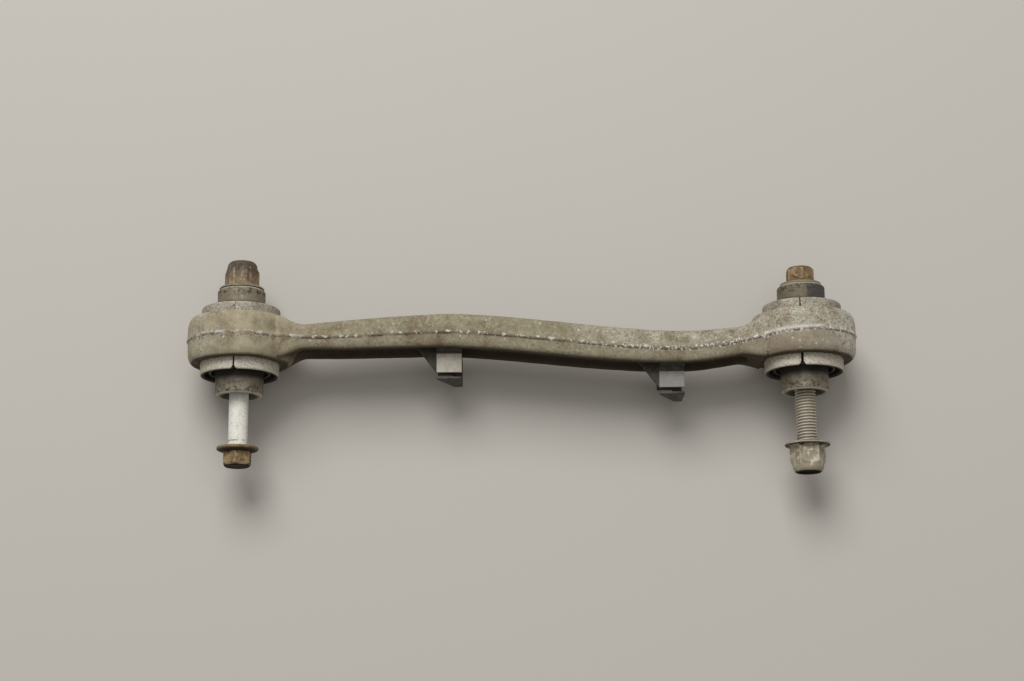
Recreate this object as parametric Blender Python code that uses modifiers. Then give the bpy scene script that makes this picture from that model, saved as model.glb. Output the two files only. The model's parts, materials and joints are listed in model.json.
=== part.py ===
"""Rear control arm: a forged link with a rubber bush, a long bolt and a lock nut at each end.

The link lies along X with its bush axes along Y. The camera side of the real part is -Y.
Each bush has its own empty, whose Z axis runs along the bush axis towards -Y, so that every
turned piece is drawn as a profile of radius and height. The pieces are sized from the bolt
outwards: bolt, inner sleeve, rubber, ring, rubber, outer sleeve and eye.
"""

import math

import bmesh
import bpy
from mathutils import Vector

MM = 0.001

# Clearances
SEAT_GAP = 0.3 * MM
CUT_OVERRUN = 2.0 * MM
WELD = 0.001 * MM

# Bolt
BOLT_RADIUS = 6.0 * MM
BOLT_LENGTH = 110.0 * MM
BOLT_THREAD_LENGTH = 48.0 * MM
BOLT_SHANK_RADIUS = 5.6 * MM
BOLT_CHAMFER = 1.2 * MM
HEAD_ACROSS_FLATS = 15.0 * MM
HEAD_HEIGHT = 8.5 * MM
HEAD_CHAMFER = 1.0 * MM
WASHER_RADIUS = 12.0 * MM
WASHER_THICKNESS = 2.5 * MM
WASHER_CHAMFER = 0.9 * MM

# Nut
NUT_ACROSS_FLATS = 18.0 * MM
NUT_FLANGE_RADIUS = 13.0 * MM
NUT_FLANGE_RIM = 1.1 * MM
NUT_FLANGE_RISE = 1.7 * MM
NUT_HEX_HEIGHT = 10.2 * MM
NUT_CONE_HEIGHT = 3.2 * MM
NUT_CONE_STEP = 0.3 * MM
NUT_CROWN_HEIGHT = 3.8 * MM
NUT_CROWN_WALL = 1.2 * MM
NUT_CROWN_TAPER = 0.3 * MM
NUT_CROWN_ROUND = 1.2 * MM
NUT_LIP_HEIGHT = 1.0 * MM
NUT_LIP_HOLE_GROWTH = 0.3 * MM
NUT_COUNTERSINK = 0.9 * MM
LOCK_RING_WALL = 0.8 * MM
LOCK_RING_HEIGHT = 3.0 * MM
BOLT_END_RECESS = 2.8 * MM
NUT_TURNS = {"left": math.radians(-18.0), "right": math.radians(12.0)}

# Bush, from the inside out
SLEEVE_WALL = 7.55 * MM
SLEEVE_CHAMFER = 1.0 * MM
SLEEVE_COUNTERSINK_RADIUS = 10.0 * MM
SLEEVE_COUNTERSINK_DEPTH = 2.6 * MM
INNER_RUBBER_WALL = 2.0 * MM
RING_WALL = 1.3 * MM
RING_CHAMFER = 0.3 * MM
OUTER_RUBBER_WALL = 1.9 * MM
COLLAR_WALL = 2.5 * MM
COLLAR_CHAMFER = 0.7 * MM
SLIT_WIDTH = 1.3 * MM
SLIT_NOTCH = 2.2 * MM
RUBBER_RECESS = 3.2 * MM
RUBBER_DISH = 0.9 * MM
RING_RECESS = 1.6 * MM
COLLAR_STANDOUT = 6.75 * MM
SLEEVE_STANDOUT = 11.5 * MM
SLIT_TURNS = {"left": math.radians(1.0), "right": math.radians(10.5)}

# Eyes of the arm
BUSH_SPACING = 327.0 * MM
EYE_WALL = 7.95 * MM
EYE_LENGTH = 26.5 * MM
EYE_EDGE_DROP = 3.0 * MM
EYE_EDGE_LENGTH = 6.0 * MM

# Beam of the arm
BEAM_END_HEIGHT = 31.5 * MM
BEAM_MIDDLE_HEIGHT = 33.0 * MM
BEAM_LEFT_WIDTH = 15.6 * MM
BEAM_MIDDLE_WIDTH = 20.6 * MM
BEAM_RIGHT_WIDTH = 17.5 * MM
BEAM_EDGE_RADIUS = 3.4 * MM
BEAM_CROWN = 0.9 * MM
BEND_OFFSET = 8.1 * MM
NECK_RADIUS = 30.0 * MM
BEAM_END_WALL = 0.5 * MM
NECK_SIDE_STEP = 0.6 * MM
NECK_SIDE_START = 7.0 * MM
NECK_SIDE_LENGTH = 17.0 * MM
FLANGE_THICKNESS = 5.6 * MM
WEB_THICKNESS = 6.5 * MM
POCKET_END_WALL = 1.5 * MM
POCKET_FILLET = 2.2 * MM

# Cable clips
LEFT_CLIP_FROM_MIDDLE = -42.0 * MM
RIGHT_CLIP_FROM_MIDDLE = 86.5 * MM
CLIP_WIDTH = 14.6 * MM
CLIP_WALL = 1.8 * MM
CLIP_TOP = 4.0 * MM
CLIP_DROP = 18.0 * MM
CLIP_PLATE_DEPTH = 10.0 * MM
CLIP_SLOT = 2.5 * MM
CLIP_LIP = 1.4 * MM
CLIP_LIP_HEIGHT = 2.5 * MM
CLIP_PRONG_CHAMFER = 1.2 * MM
CLIP_CORNER_CUT = 9.6 * MM
CLIP_FLOOR_DEPTH = 7.2 * MM
GUSSET_REACH = 14.0 * MM
GUSSET_THICKNESS = 2.0 * MM
GUSSET_STEP = 1.2 * MM

# Shares, chosen by eye: where along half the span, and how much of the bend's offset towards the front
BEND_SHARES = (
    (-1.00, 0.00), (-0.86, -0.02), (-0.71, -0.13), (-0.60, -0.22), (-0.43, -0.38), (-0.25, -0.46),
    (-0.08, -0.24), (0.10, 0.12), (0.275, 0.49), (0.45, 0.77), (0.55, 0.82), (0.63, 0.77),
    (0.77, 0.43), (0.88, 0.12), (1.00, 0.00),
)
POCKET_DRAFT_SHARE = 0.10
POCKET_RUN_OUT_SHARE = 0.35
BEAM_TAPER_POWER = 2.5

# Facets
BUSH_STEPS = 40
FASTENER_STEPS = 28
BEAM_STATIONS = 22
NECK_STATIONS = 7
POCKET_STATIONS = 24
CORNER_STEPS = 3
EDGE_STEPS = 4
SMOOTH_ANGLE = math.radians(35.0)

# Sizes that follow
SLEEVE_BORE = BOLT_RADIUS + SEAT_GAP
SLEEVE_RADIUS = SLEEVE_BORE + SLEEVE_WALL
INNER_RUBBER_BORE = SLEEVE_RADIUS + SEAT_GAP
INNER_RUBBER_RADIUS = INNER_RUBBER_BORE + INNER_RUBBER_WALL
RING_BORE = INNER_RUBBER_RADIUS + SEAT_GAP
RING_RADIUS = RING_BORE + RING_WALL
OUTER_RUBBER_BORE = RING_RADIUS + SEAT_GAP
OUTER_RUBBER_RADIUS = OUTER_RUBBER_BORE + OUTER_RUBBER_WALL
COLLAR_BORE = OUTER_RUBBER_RADIUS + SEAT_GAP
COLLAR_RADIUS = COLLAR_BORE + COLLAR_WALL
EYE_BORE = COLLAR_RADIUS + SEAT_GAP
EYE_RADIUS = EYE_BORE + EYE_WALL
COLLAR_LENGTH = EYE_LENGTH + 2 * COLLAR_STANDOUT
SLEEVE_LENGTH = COLLAR_LENGTH + 2 * SLEEVE_STANDOUT
RUBBER_LENGTH = COLLAR_LENGTH - 2 * RUBBER_RECESS
RING_LENGTH = COLLAR_LENGTH - 2 * RING_RECESS
HALF_SPAN = BUSH_SPACING / 2

NUT_FLANGE_THICKNESS = NUT_FLANGE_RIM + NUT_FLANGE_RISE
NUT_HEX_TOP = NUT_FLANGE_THICKNESS + NUT_HEX_HEIGHT
NUT_HEIGHT = NUT_HEX_TOP + NUT_CROWN_HEIGHT
NUT_BORE = BOLT_RADIUS + SEAT_GAP
LOCK_RING_RADIUS = NUT_BORE + LOCK_RING_WALL
LOCK_GROOVE_RADIUS = LOCK_RING_RADIUS + SEAT_GAP
CROWN_TOP_RADIUS = LOCK_GROOVE_RADIUS + NUT_CROWN_WALL
LOCK_RING_TOP = NUT_HEIGHT - NUT_LIP_HEIGHT - SEAT_GAP
LOCK_RING_BOTTOM = LOCK_RING_TOP - LOCK_RING_HEIGHT
WASHER_BORE = BOLT_SHANK_RADIUS + SEAT_GAP

# Heights along each bush axis, counted from the middle of the eye and growing towards the front
SLEEVE_SEAT = SLEEVE_LENGTH / 2 + SEAT_GAP
LEFT_NUT_SEAT = -SLEEVE_SEAT
LEFT_BOLT_END = LEFT_NUT_SEAT - NUT_HEIGHT + BOLT_END_RECESS
LEFT_HEAD_SEAT = LEFT_BOLT_END + BOLT_LENGTH
LEFT_HEAD_END = LEFT_HEAD_SEAT + HEAD_HEIGHT
RIGHT_HEAD_SEAT = -SLEEVE_SEAT - WASHER_THICKNESS - SEAT_GAP
RIGHT_HEAD_END = RIGHT_HEAD_SEAT - HEAD_HEIGHT
RIGHT_BOLT_END = RIGHT_HEAD_SEAT + BOLT_LENGTH
RIGHT_NUT_SEAT = RIGHT_BOLT_END + BOLT_END_RECESS - NUT_HEIGHT
FRONT_REACH = max(LEFT_HEAD_END, RIGHT_NUT_SEAT + NUT_HEIGHT)
REAR_REACH = max(NUT_HEIGHT - LEFT_NUT_SEAT, -RIGHT_HEAD_END)

# Colour, roughness and metallic of each finish
FINISHES = {
    "forged_aluminium": ((0.26, 0.23, 0.17), 0.75, 0.35),
    "collar_steel": ((0.30, 0.28, 0.24), 0.6, 0.6),
    "sleeve_steel": ((0.17, 0.15, 0.11), 0.6, 0.6),
    "bush_rubber": ((0.02, 0.02, 0.018), 0.85, 0.0),
    "zinc_steel": ((0.55, 0.58, 0.54), 0.35, 0.9),
    "threaded_steel": ((0.24, 0.20, 0.14), 0.55, 0.7),
    "rusty_steel": ((0.15, 0.10, 0.05), 0.8, 0.3),
    "nut_steel": ((0.30, 0.26, 0.20), 0.6, 0.6),
    "nylon": ((0.05, 0.05, 0.06), 0.5, 0.0),
    "clip_plastic": ((0.30, 0.29, 0.27), 0.55, 0.0),
}
BOLT_FINISHES = {"left": "zinc_steel", "right": "threaded_steel"}


def clear_scene():
    """Empty the file of its default objects."""
    for obj in list(bpy.data.objects):
        bpy.data.objects.remove(obj, do_unlink=True)


def new_collection(name):
    collection = bpy.data.collections.new(name)
    bpy.context.scene.collection.children.link(collection)
    return collection


def make_materials():
    """One Principled material for each finish."""
    materials = {}
    for name, (colour, roughness, metallic) in FINISHES.items():
        material = bpy.data.materials.new(name)
        material.use_nodes = True
        shader = material.node_tree.nodes["Principled BSDF"]
        shader.inputs["Base Color"].default_value = (*colour, 1.0)
        shader.inputs["Roughness"].default_value = roughness
        shader.inputs["Metallic"].default_value = metallic
        materials[name] = material
    return materials


def add_object(name, mesh, collection, parent):
    obj = bpy.data.objects.new(name, mesh)
    collection.objects.link(obj)
    obj.parent = parent
    return obj


def add_empty(name, location, rotation, collection, parent):
    empty = bpy.data.objects.new(name, None)
    collection.objects.link(empty)
    empty.parent = parent
    empty.location = location
    empty.rotation_euler = rotation
    return empty


def turned(name, profile, steps, collection, parent, ring=False):
    """A profile of (radius, height) points turned about Z, drawn down its outer side."""
    mesh = bpy.data.meshes.new(name)
    points = [(radius, 0, height) for radius, height in profile]
    edges = [(i, i + 1) for i in range(len(points) - 1)]
    if ring:
        edges.append((len(points) - 1, 0))
    mesh.from_pydata(points, edges, [])
    obj = add_object(name, mesh, collection, parent)
    screw = obj.modifiers.new("Turn", "SCREW")
    screw.steps = screw.render_steps = steps
    screw.use_merge_vertices = True
    screw.merge_threshold = WELD
    return obj


def flat_solid(name, outline, thickness, collection, parent):
    """A flat outline in XY, given a thickness along Z that is centred on the outline."""
    curve = bpy.data.curves.new(name, "CURVE")
    curve.dimensions = "2D"
    curve.fill_mode = "BOTH"
    curve.extrude = thickness / 2
    spline = curve.splines.new("POLY")
    spline.points.add(len(outline) - 1)
    for point, (x, y) in zip(spline.points, outline):
        point.co = (x, y, 0, 1)
    spline.use_cyclic_u = True
    guide = bpy.data.objects.new(name + "_outline", curve)
    collection.objects.link(guide)
    graph = bpy.context.evaluated_depsgraph_get()
    mesh = bpy.data.meshes.new_from_object(guide.evaluated_get(graph))
    mesh.name = name
    bpy.data.objects.remove(guide, do_unlink=True)
    solid = bmesh.new()
    solid.from_mesh(mesh)
    bmesh.ops.remove_doubles(solid, verts=solid.verts, dist=WELD)
    bmesh.ops.recalc_face_normals(solid, faces=solid.faces)
    solid.to_mesh(mesh)
    solid.free()
    return add_object(name, mesh, collection, parent)


def loft(name, rings, collection, parent):
    """A closed skin through rings of points, one ring for each station."""
    mesh = bpy.data.meshes.new(name)
    skin = bmesh.new()
    loops = [[skin.verts.new(point) for point in ring] for ring in rings]
    for here, there in zip(loops, loops[1:]):
        for i in range(len(here)):
            j = (i + 1) % len(here)
            skin.faces.new((here[i], here[j], there[j], there[i]))
    skin.faces.new(loops[0])
    skin.faces.new(loops[-1])
    bmesh.ops.recalc_face_normals(skin, faces=skin.faces)
    skin.to_mesh(mesh)
    skin.free()
    return add_object(name, mesh, collection, parent)


def prism(name, across_flats, low, high, collection, parent):
    """A hexagonal bar along Z, with a corner on the Y axis."""
    mesh = bpy.data.meshes.new(name)
    bar = bmesh.new()
    radius = across_flats / math.sqrt(3)
    bmesh.ops.create_cone(
        bar, cap_ends=True, segments=6, radius1=radius, radius2=radius, depth=high - low
    )
    bmesh.ops.translate(bar, verts=bar.verts, vec=Vector((0, 0, (low + high) / 2)))
    bar.to_mesh(mesh)
    bar.free()
    return add_object(name, mesh, collection, parent)


def box(name, low, high, collection, parent):
    """A block between two corners."""
    mesh = bpy.data.meshes.new(name)
    block = bmesh.new()
    bmesh.ops.create_cube(block, size=1)
    for vert in block.verts:
        vert.co = Vector(
            [(a + b) / 2 + share * (b - a) for a, b, share in zip(low, high, vert.co)]
        )
    block.to_mesh(mesh)
    block.free()
    return add_object(name, mesh, collection, parent)


def combine(target, operation, tool):
    """Join, cut or intersect a piece with a tool, which stays behind as a guide."""
    tool.hide_render = True
    tool.display_type = "WIRE"
    boolean = target.modifiers.new(tool.name, "BOOLEAN")
    boolean.operation = operation
    boolean.solver = "EXACT"
    boolean.object = tool


def bake(pieces, materials):
    """Turn each piece's modifiers into its mesh, give it its finish and shade its round faces smooth."""
    graph = bpy.context.evaluated_depsgraph_get()
    meshes = [bpy.data.meshes.new_from_object(piece.evaluated_get(graph)) for piece, _ in pieces]
    for (piece, finish), mesh in zip(pieces, meshes):
        piece.modifiers.clear()
        piece.data = mesh
        mesh.name = piece.name
        mesh.materials.clear()
        mesh.materials.append(materials[finish])
        mesh.shade_smooth()
        mesh.set_sharp_from_angle(angle=SMOOTH_ANGLE)


def arc(centre, radius, start, end, steps):
    """Points on an arc from one angle to another, both in degrees."""
    angles = [math.radians(start + (end - start) * i / steps) for i in range(steps + 1)]
    return [(centre[0] + radius * math.cos(a), centre[1] + radius * math.sin(a)) for a in angles]


def ease(share):
    """A smooth step from 0 to 1."""
    share = min(max(share, 0), 1)
    return share * share * (3 - 2 * share)


def read_shares(table, where):
    """A smooth curve through the points of a table of shares."""
    slopes = []
    for i in range(len(table)):
        before = table[max(i - 1, 0)]
        after = table[min(i + 1, len(table) - 1)]
        slopes.append((after[1] - before[1]) / (after[0] - before[0]))
    for i, ((x0, y0), (x1, y1)) in enumerate(zip(table, table[1:])):
        if where <= x1 or i == len(table) - 2:
            run = x1 - x0
            t = (where - x0) / run
            return (
                y0 * (2 * t**3 - 3 * t**2 + 1)
                + y1 * (3 * t**2 - 2 * t**3)
                + slopes[i] * run * (t**3 - 2 * t**2 + t)
                + slopes[i + 1] * run * (t**3 - t**2)
            )


# The beam's measures at a distance x from the arm's middle


def bend(x):
    """How far the beam's middle plane lies towards -Y of the eyes' middle plane."""
    return BEND_OFFSET * read_shares(BEND_SHARES, x / HALF_SPAN)


def to_eye(x):
    """The distance along the arm to the nearer bush axis."""
    return HALF_SPAN - abs(x)


def neck_run():
    """Where the neck's fillet starts on the beam, as a distance from the bush axis."""
    rise = BEAM_END_HEIGHT / 2 + NECK_RADIUS
    return math.sqrt((EYE_RADIUS + NECK_RADIUS) ** 2 - rise**2)


def beam_end():
    """Where the beam ends inside the eye's wall, as a distance from the bush axis."""
    return EYE_BORE + BEAM_END_WALL


def half_height(x):
    """Half the beam's height, with the fillet that runs up onto the eye."""
    swell = math.cos(math.pi / 2 * min(abs(x) / (HALF_SPAN - neck_run()), 1)) ** 2
    height = (BEAM_END_HEIGHT + (BEAM_MIDDLE_HEIGHT - BEAM_END_HEIGHT) * swell) / 2
    run = neck_run() - to_eye(x)
    if run > 0:
        height += NECK_RADIUS - math.sqrt(NECK_RADIUS**2 - run**2)
    return height


def half_width(x):
    """Half the beam's width, which grows to nearly the eye's length at the neck."""
    neck_start = HALF_SPAN - EYE_RADIUS - NECK_SIDE_START
    taper = min(abs(x) / neck_start, 1) ** BEAM_TAPER_POWER
    end_width = BEAM_LEFT_WIDTH if x < 0 else BEAM_RIGHT_WIDTH
    width = (BEAM_MIDDLE_WIDTH + (end_width - BEAM_MIDDLE_WIDTH) * taper) / 2
    neck = EYE_LENGTH / 2 - NECK_SIDE_STEP
    grown = ease((EYE_RADIUS + NECK_SIDE_START - to_eye(x)) / NECK_SIDE_LENGTH)
    return width + (neck - width) * grown


def beam_section(x):
    """The beam's outline at x: crowned top and bottom, rounded edges and flat sides."""
    high, wide, radius = half_height(x), half_width(x), BEAM_EDGE_RADIUS
    edge = high - BEAM_CROWN - radius
    corner = arc((wide - radius, edge), radius, 0, 90, CORNER_STEPS)
    half = corner + [(0, high)] + [(-y, z) for y, z in reversed(corner)]
    outline = half + [(-y, -z) for y, z in half]
    return [(x, y - bend(x), z) for y, z in outline]


def beam_stations():
    """Where the beam's sections stand: closely at the necks and evenly between them."""
    inner, outer = HALF_SPAN - neck_run(), HALF_SPAN - beam_end()
    neck = [inner + (outer - inner) * (i + 1) / NECK_STATIONS for i in range(NECK_STATIONS)]
    even = [inner * (2 * i / BEAM_STATIONS - 1) for i in range(BEAM_STATIONS + 1)]
    return [-x for x in reversed(neck)] + even + neck


def pocket_depth(x):
    """How deep a side pocket is below the beam's flat side."""
    return half_width(x) - WEB_THICKNESS / 2


def pocket_half_height(x):
    return half_height(x) - FLANGE_THICKNESS


def pocket_section(x, share, side):
    """The pocket's outline at x; share, from 0 to 1, rounds off and shallows its ends."""
    mouth = pocket_half_height(x) * share
    floor = mouth * (1 - POCKET_DRAFT_SHARE)
    depth = pocket_depth(x) * min(1, POCKET_RUN_OUT_SHARE + (1 - POCKET_RUN_OUT_SHARE) * share)
    bottom = half_width(x) - depth
    fillet = min(POCKET_FILLET, floor / 2)
    corner = arc((bottom + fillet, floor - fillet), fillet, 90, 180, CORNER_STEPS)
    half = [(half_width(x) + CUT_OVERRUN, mouth), (half_width(x), mouth)] + corner
    outline = half + [(y, -z) for y, z in reversed(half)]
    return [(x, side * y - bend(x), z) for y, z in outline]


def pocket_rings(side):
    """Sections of one side pocket, with a round end at each neck."""
    end = HALF_SPAN - EYE_RADIUS - POCKET_END_WALL
    radius = pocket_half_height(end)
    turns = [math.pi / 2 * (i + 1) / (EDGE_STEPS + 1) for i in range(EDGE_STEPS)]
    ends = [(end - radius * (1 - math.cos(t)), math.sin(t)) for t in turns]
    inner = end - radius
    even = [(inner * (2 * i / POCKET_STATIONS - 1), 1) for i in range(POCKET_STATIONS + 1)]
    stations = [(-x, share) for x, share in ends] + even + list(reversed(ends))
    return [pocket_section(x, share, side) for x, share in stations]


def eye_ring():
    """An eye's section: a bore, flat faces and a rim whose straight land has rounded edges."""
    face = EYE_RADIUS - EYE_EDGE_DROP
    land = EYE_LENGTH / 2 - EYE_EDGE_LENGTH
    turns = [math.pi / 2 * (1 - i / EDGE_STEPS) for i in range(EDGE_STEPS + 1)]
    rim = [
        (face + EYE_EDGE_DROP * math.cos(t), land + EYE_EDGE_LENGTH * math.sin(t)) for t in turns
    ]
    upper = [(EYE_BORE, EYE_LENGTH / 2)] + rim
    return upper + [(radius, -height) for radius, height in reversed(upper)]


def make_arm(parts, cutters, frame, axes):
    """The beam, joined to its two eyes and pocketed on both sides."""
    arm = loft("arm", [beam_section(x) for x in beam_stations()], parts, frame)
    for side, axis in axes.items():
        eye = turned(side + "_eye", eye_ring(), BUSH_STEPS, cutters, axis, ring=True)
        combine(arm, "UNION", eye)
    for name, side in (("front_pocket", -1), ("rear_pocket", 1)):
        combine(arm, "DIFFERENCE", loft(name, pocket_rings(side), cutters, frame))
    return arm


def chamfered_ring(bore, radius, length, chamfer):
    """A tube's section with its four corners cut off."""
    top, inset = length / 2, length / 2 - chamfer
    upper = [(bore, inset), (bore + chamfer, top), (radius - chamfer, top), (radius, inset)]
    return upper + [(r, -h) for r, h in reversed(upper)]


def rubber_ring(bore, radius):
    """A rubber layer's section: its ends are hollowed between the metal faces."""
    top, middle = RUBBER_LENGTH / 2, (bore + radius) / 2
    upper = [(bore, top), (middle, top - RUBBER_DISH), (radius, top)]
    return upper + [(r, -h) for r, h in reversed(upper)]


def sleeve_ring():
    """The inner sleeve's section, countersunk at both ends of its bore."""
    top, chamfer = SLEEVE_LENGTH / 2, SLEEVE_CHAMFER
    upper = [
        (SLEEVE_BORE, top - SLEEVE_COUNTERSINK_DEPTH),
        (SLEEVE_COUNTERSINK_RADIUS, top),
        (SLEEVE_RADIUS - chamfer, top),
        (SLEEVE_RADIUS, top - chamfer),
    ]
    return upper + [(r, -h) for r, h in reversed(upper)]


def make_collar(side, slit_turn, parts, cutters, axis):
    """The outer sleeve, slit along its top with a small V at each end of the slit."""
    profile = chamfered_ring(COLLAR_BORE, COLLAR_RADIUS, COLLAR_LENGTH, COLLAR_CHAMFER)
    collar = turned(side + "_outer_sleeve", profile, BUSH_STEPS, parts, axis, ring=True)
    turn = add_empty(side + "_slit", (0, 0, 0), (0, 0, slit_turn), cutters, axis)
    half, reach = SLIT_WIDTH / 2, COLLAR_LENGTH / 2 + CUT_OVERRUN
    outside = COLLAR_RADIUS + CUT_OVERRUN
    inside = COLLAR_BORE - CUT_OVERRUN
    slit = box(side + "_slit_cut", (-half, inside, -reach), (half, outside, reach), cutters, turn)
    combine(collar, "DIFFERENCE", slit)
    for end in (-1, 1):
        name = side + ("_rear_notch" if end < 0 else "_front_notch")
        corner = SLIT_NOTCH / 2
        notch = box(name, (-corner, inside, -corner), (corner, outside, corner), cutters, turn)
        notch.location = (0, 0, end * COLLAR_LENGTH / 2)
        notch.rotation_euler = (0, math.pi / 4, 0)
        combine(collar, "DIFFERENCE", notch)
    return collar


def make_bush(side, slit_turn, parts, cutters, axis):
    """The five coaxial pieces of one bush."""
    collar = make_collar(side, slit_turn, parts, cutters, axis)
    outer = rubber_ring(OUTER_RUBBER_BORE, OUTER_RUBBER_RADIUS)
    inner = rubber_ring(INNER_RUBBER_BORE, INNER_RUBBER_RADIUS)
    ring = chamfered_ring(RING_BORE, RING_RADIUS, RING_LENGTH, RING_CHAMFER)
    rings = (
        ("_outer_rubber", outer, "bush_rubber"),
        ("_intermediate_ring", ring, "collar_steel"),
        ("_inner_rubber", inner, "bush_rubber"),
        ("_inner_sleeve", sleeve_ring(), "sleeve_steel"),
    )
    pieces = [(collar, "collar_steel")]
    for name, profile, finish in rings:
        piece = turned(side + name, profile, BUSH_STEPS, parts, axis, ring=True)
        pieces.append((piece, finish))
    return pieces


def bolt_profile():
    """The shank and thread below the head, which grow along +Z to the bolt's end."""
    thread = BOLT_LENGTH - BOLT_THREAD_LENGTH
    step = BOLT_RADIUS - BOLT_SHANK_RADIUS
    buried = -HEAD_HEIGHT / 2
    return [
        (0, BOLT_LENGTH),
        (BOLT_RADIUS - BOLT_CHAMFER, BOLT_LENGTH),
        (BOLT_RADIUS, BOLT_LENGTH - BOLT_CHAMFER),
        (BOLT_RADIUS, thread),
        (BOLT_SHANK_RADIUS, thread - step),
        (BOLT_SHANK_RADIUS, buried),
        (0, buried),
    ]


def chamfer_profile(across_flats, low, high, chamfer):
    """The turned blank that takes the corners off a hexagon's upper end."""
    corner = across_flats / math.sqrt(3) + CUT_OVERRUN
    flat = across_flats / 2
    slope = math.tan(math.radians(30))
    drop = (corner - flat + chamfer) * slope
    return [(0, high), (flat - chamfer, high), (corner, high - drop), (corner, low), (0, low)]


def make_bolt(side, parts, cutters, seat):
    """A hexagon bolt, standing on its head's bearing face."""
    bolt = turned(side + "_bolt", bolt_profile(), FASTENER_STEPS, parts, seat)
    head = prism(side + "_head", HEAD_ACROSS_FLATS, -HEAD_HEIGHT, 0, cutters, seat)
    blank = chamfer_profile(HEAD_ACROSS_FLATS, -CUT_OVERRUN, HEAD_HEIGHT, HEAD_CHAMFER)
    blank = [(radius, -height) for radius, height in reversed(blank)]
    combine(head, "INTERSECT", turned(side + "_head_blank", blank, FASTENER_STEPS, cutters, seat))
    combine(bolt, "UNION", head)
    return bolt


def make_washer(side, parts, seat):
    """The captive washer: its hole is smaller than the thread, so it can't come off."""
    near, far = SEAT_GAP, SEAT_GAP + WASHER_THICKNESS
    profile = [
        (WASHER_BORE, far),
        (WASHER_RADIUS, far),
        (WASHER_RADIUS, near + WASHER_CHAMFER),
        (WASHER_RADIUS - WASHER_CHAMFER, near),
        (WASHER_BORE, near),
    ]
    return turned(side + "_bolt_washer", profile, FASTENER_STEPS, parts, seat, ring=True)


def nut_body_profile():
    """The flange and the crown, which the hexagon joins."""
    crown = CROWN_TOP_RADIUS + NUT_CROWN_TAPER
    return [
        (0, NUT_HEIGHT),
        (CROWN_TOP_RADIUS - NUT_CROWN_ROUND, NUT_HEIGHT),
        (CROWN_TOP_RADIUS, NUT_HEIGHT - NUT_CROWN_ROUND),
        (crown, NUT_HEX_TOP),
        (crown, NUT_FLANGE_THICKNESS),
        (NUT_FLANGE_RADIUS, NUT_FLANGE_RIM),
        (NUT_FLANGE_RADIUS, 0),
        (0, 0),
    ]


def nut_bore_profile():
    """The threaded bore with its countersink, and the lock ring's groove under the crown's lip."""
    lip = NUT_BORE + NUT_LIP_HOLE_GROWTH
    over = NUT_HEIGHT + CUT_OVERRUN
    groove_top = LOCK_RING_TOP + SEAT_GAP
    groove_bottom = LOCK_RING_BOTTOM - SEAT_GAP
    return [
        (0, over),
        (lip, over),
        (lip, groove_top),
        (LOCK_GROOVE_RADIUS, groove_top),
        (LOCK_GROOVE_RADIUS, groove_bottom),
        (NUT_BORE, groove_bottom),
        (NUT_BORE, NUT_COUNTERSINK),
        (NUT_BORE + NUT_COUNTERSINK + CUT_OVERRUN, -CUT_OVERRUN),
        (0, -CUT_OVERRUN),
    ]


def make_nut(side, parts, cutters, seat):
    """A flanged lock nut on its bearing face, and the nylon ring held in its crown."""
    nut = turned(side + "_nut", nut_body_profile(), FASTENER_STEPS, parts, seat)
    low, high = NUT_FLANGE_RIM / 2, NUT_HEX_TOP
    hexagon = prism(side + "_nut_hexagon", NUT_ACROSS_FLATS, low, high, cutters, seat)
    corner = NUT_ACROSS_FLATS / math.sqrt(3) + SEAT_GAP
    top = NUT_ACROSS_FLATS / 2 - NUT_CONE_STEP
    blank = [(0, high), (top, high), (corner, high - NUT_CONE_HEIGHT), (corner, 0), (0, 0)]
    combine(hexagon, "INTERSECT", turned(side + "_nut_blank", blank, FASTENER_STEPS, cutters, seat))
    combine(nut, "UNION", hexagon)
    bore = turned(side + "_nut_bore", nut_bore_profile(), FASTENER_STEPS, cutters, seat)
    combine(nut, "DIFFERENCE", bore)
    profile = [
        (NUT_BORE, LOCK_RING_TOP),
        (LOCK_RING_RADIUS, LOCK_RING_TOP),
        (LOCK_RING_RADIUS, LOCK_RING_BOTTOM),
        (NUT_BORE, LOCK_RING_BOTTOM),
    ]
    name = side + "_nut_lock_ring"
    return nut, turned(name, profile, FASTENER_STEPS, parts, seat, ring=True)


def make_fastener(side, head_seat, nut_seat, parts, cutters, axis):
    """A bolt, its washer and its nut; the bolt's end points from its head towards the nut."""
    toward_end = math.pi if nut_seat < head_seat else 0
    head = add_empty(side + "_bolt_seat", (0, 0, head_seat), (toward_end, 0, 0), parts, axis)
    crown = add_empty(side + "_nut_seat", (0, 0, nut_seat), (toward_end, 0, NUT_TURNS[side]), parts, axis)
    nut, lock_ring = make_nut(side, parts, cutters, crown)
    return [
        (make_bolt(side, parts, cutters, head), BOLT_FINISHES[side]),
        (make_washer(side, parts, head), "rusty_steel"),
        (nut, "nut_steel"),
        (lock_ring, "nylon"),
    ]


def clip_outline(foot_depth, foot_height):
    """A clip's section: distance in front of the arm's side face, and height."""
    wall, gap = CLIP_WALL, SEAT_GAP
    back = gap + wall
    plate = back + CLIP_PLATE_DEPTH
    lip = plate + CLIP_SLOT
    front = lip + CLIP_LIP
    tip = CLIP_PRONG_CHAMFER
    return [
        (-foot_depth, foot_height - tip),
        (tip - foot_depth, foot_height),
        (-gap, foot_height),
        (-gap, CLIP_TOP),
        (plate, CLIP_TOP),
        (plate, CLIP_TOP - wall),
        (back, CLIP_TOP - wall),
        (back, wall - CLIP_DROP),
        (lip, wall - CLIP_DROP),
        (lip, CLIP_TOP),
        (front, CLIP_TOP),
        (front, -CLIP_DROP),
        (gap, -CLIP_DROP),
        (gap, -foot_height),
        (tip - foot_depth, -foot_height),
        (-foot_depth, tip - foot_height),
        (-foot_depth, wall - foot_height),
        (-back, wall - foot_height),
        (-back, foot_height - wall),
        (-foot_depth, foot_height - wall),
    ]


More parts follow.
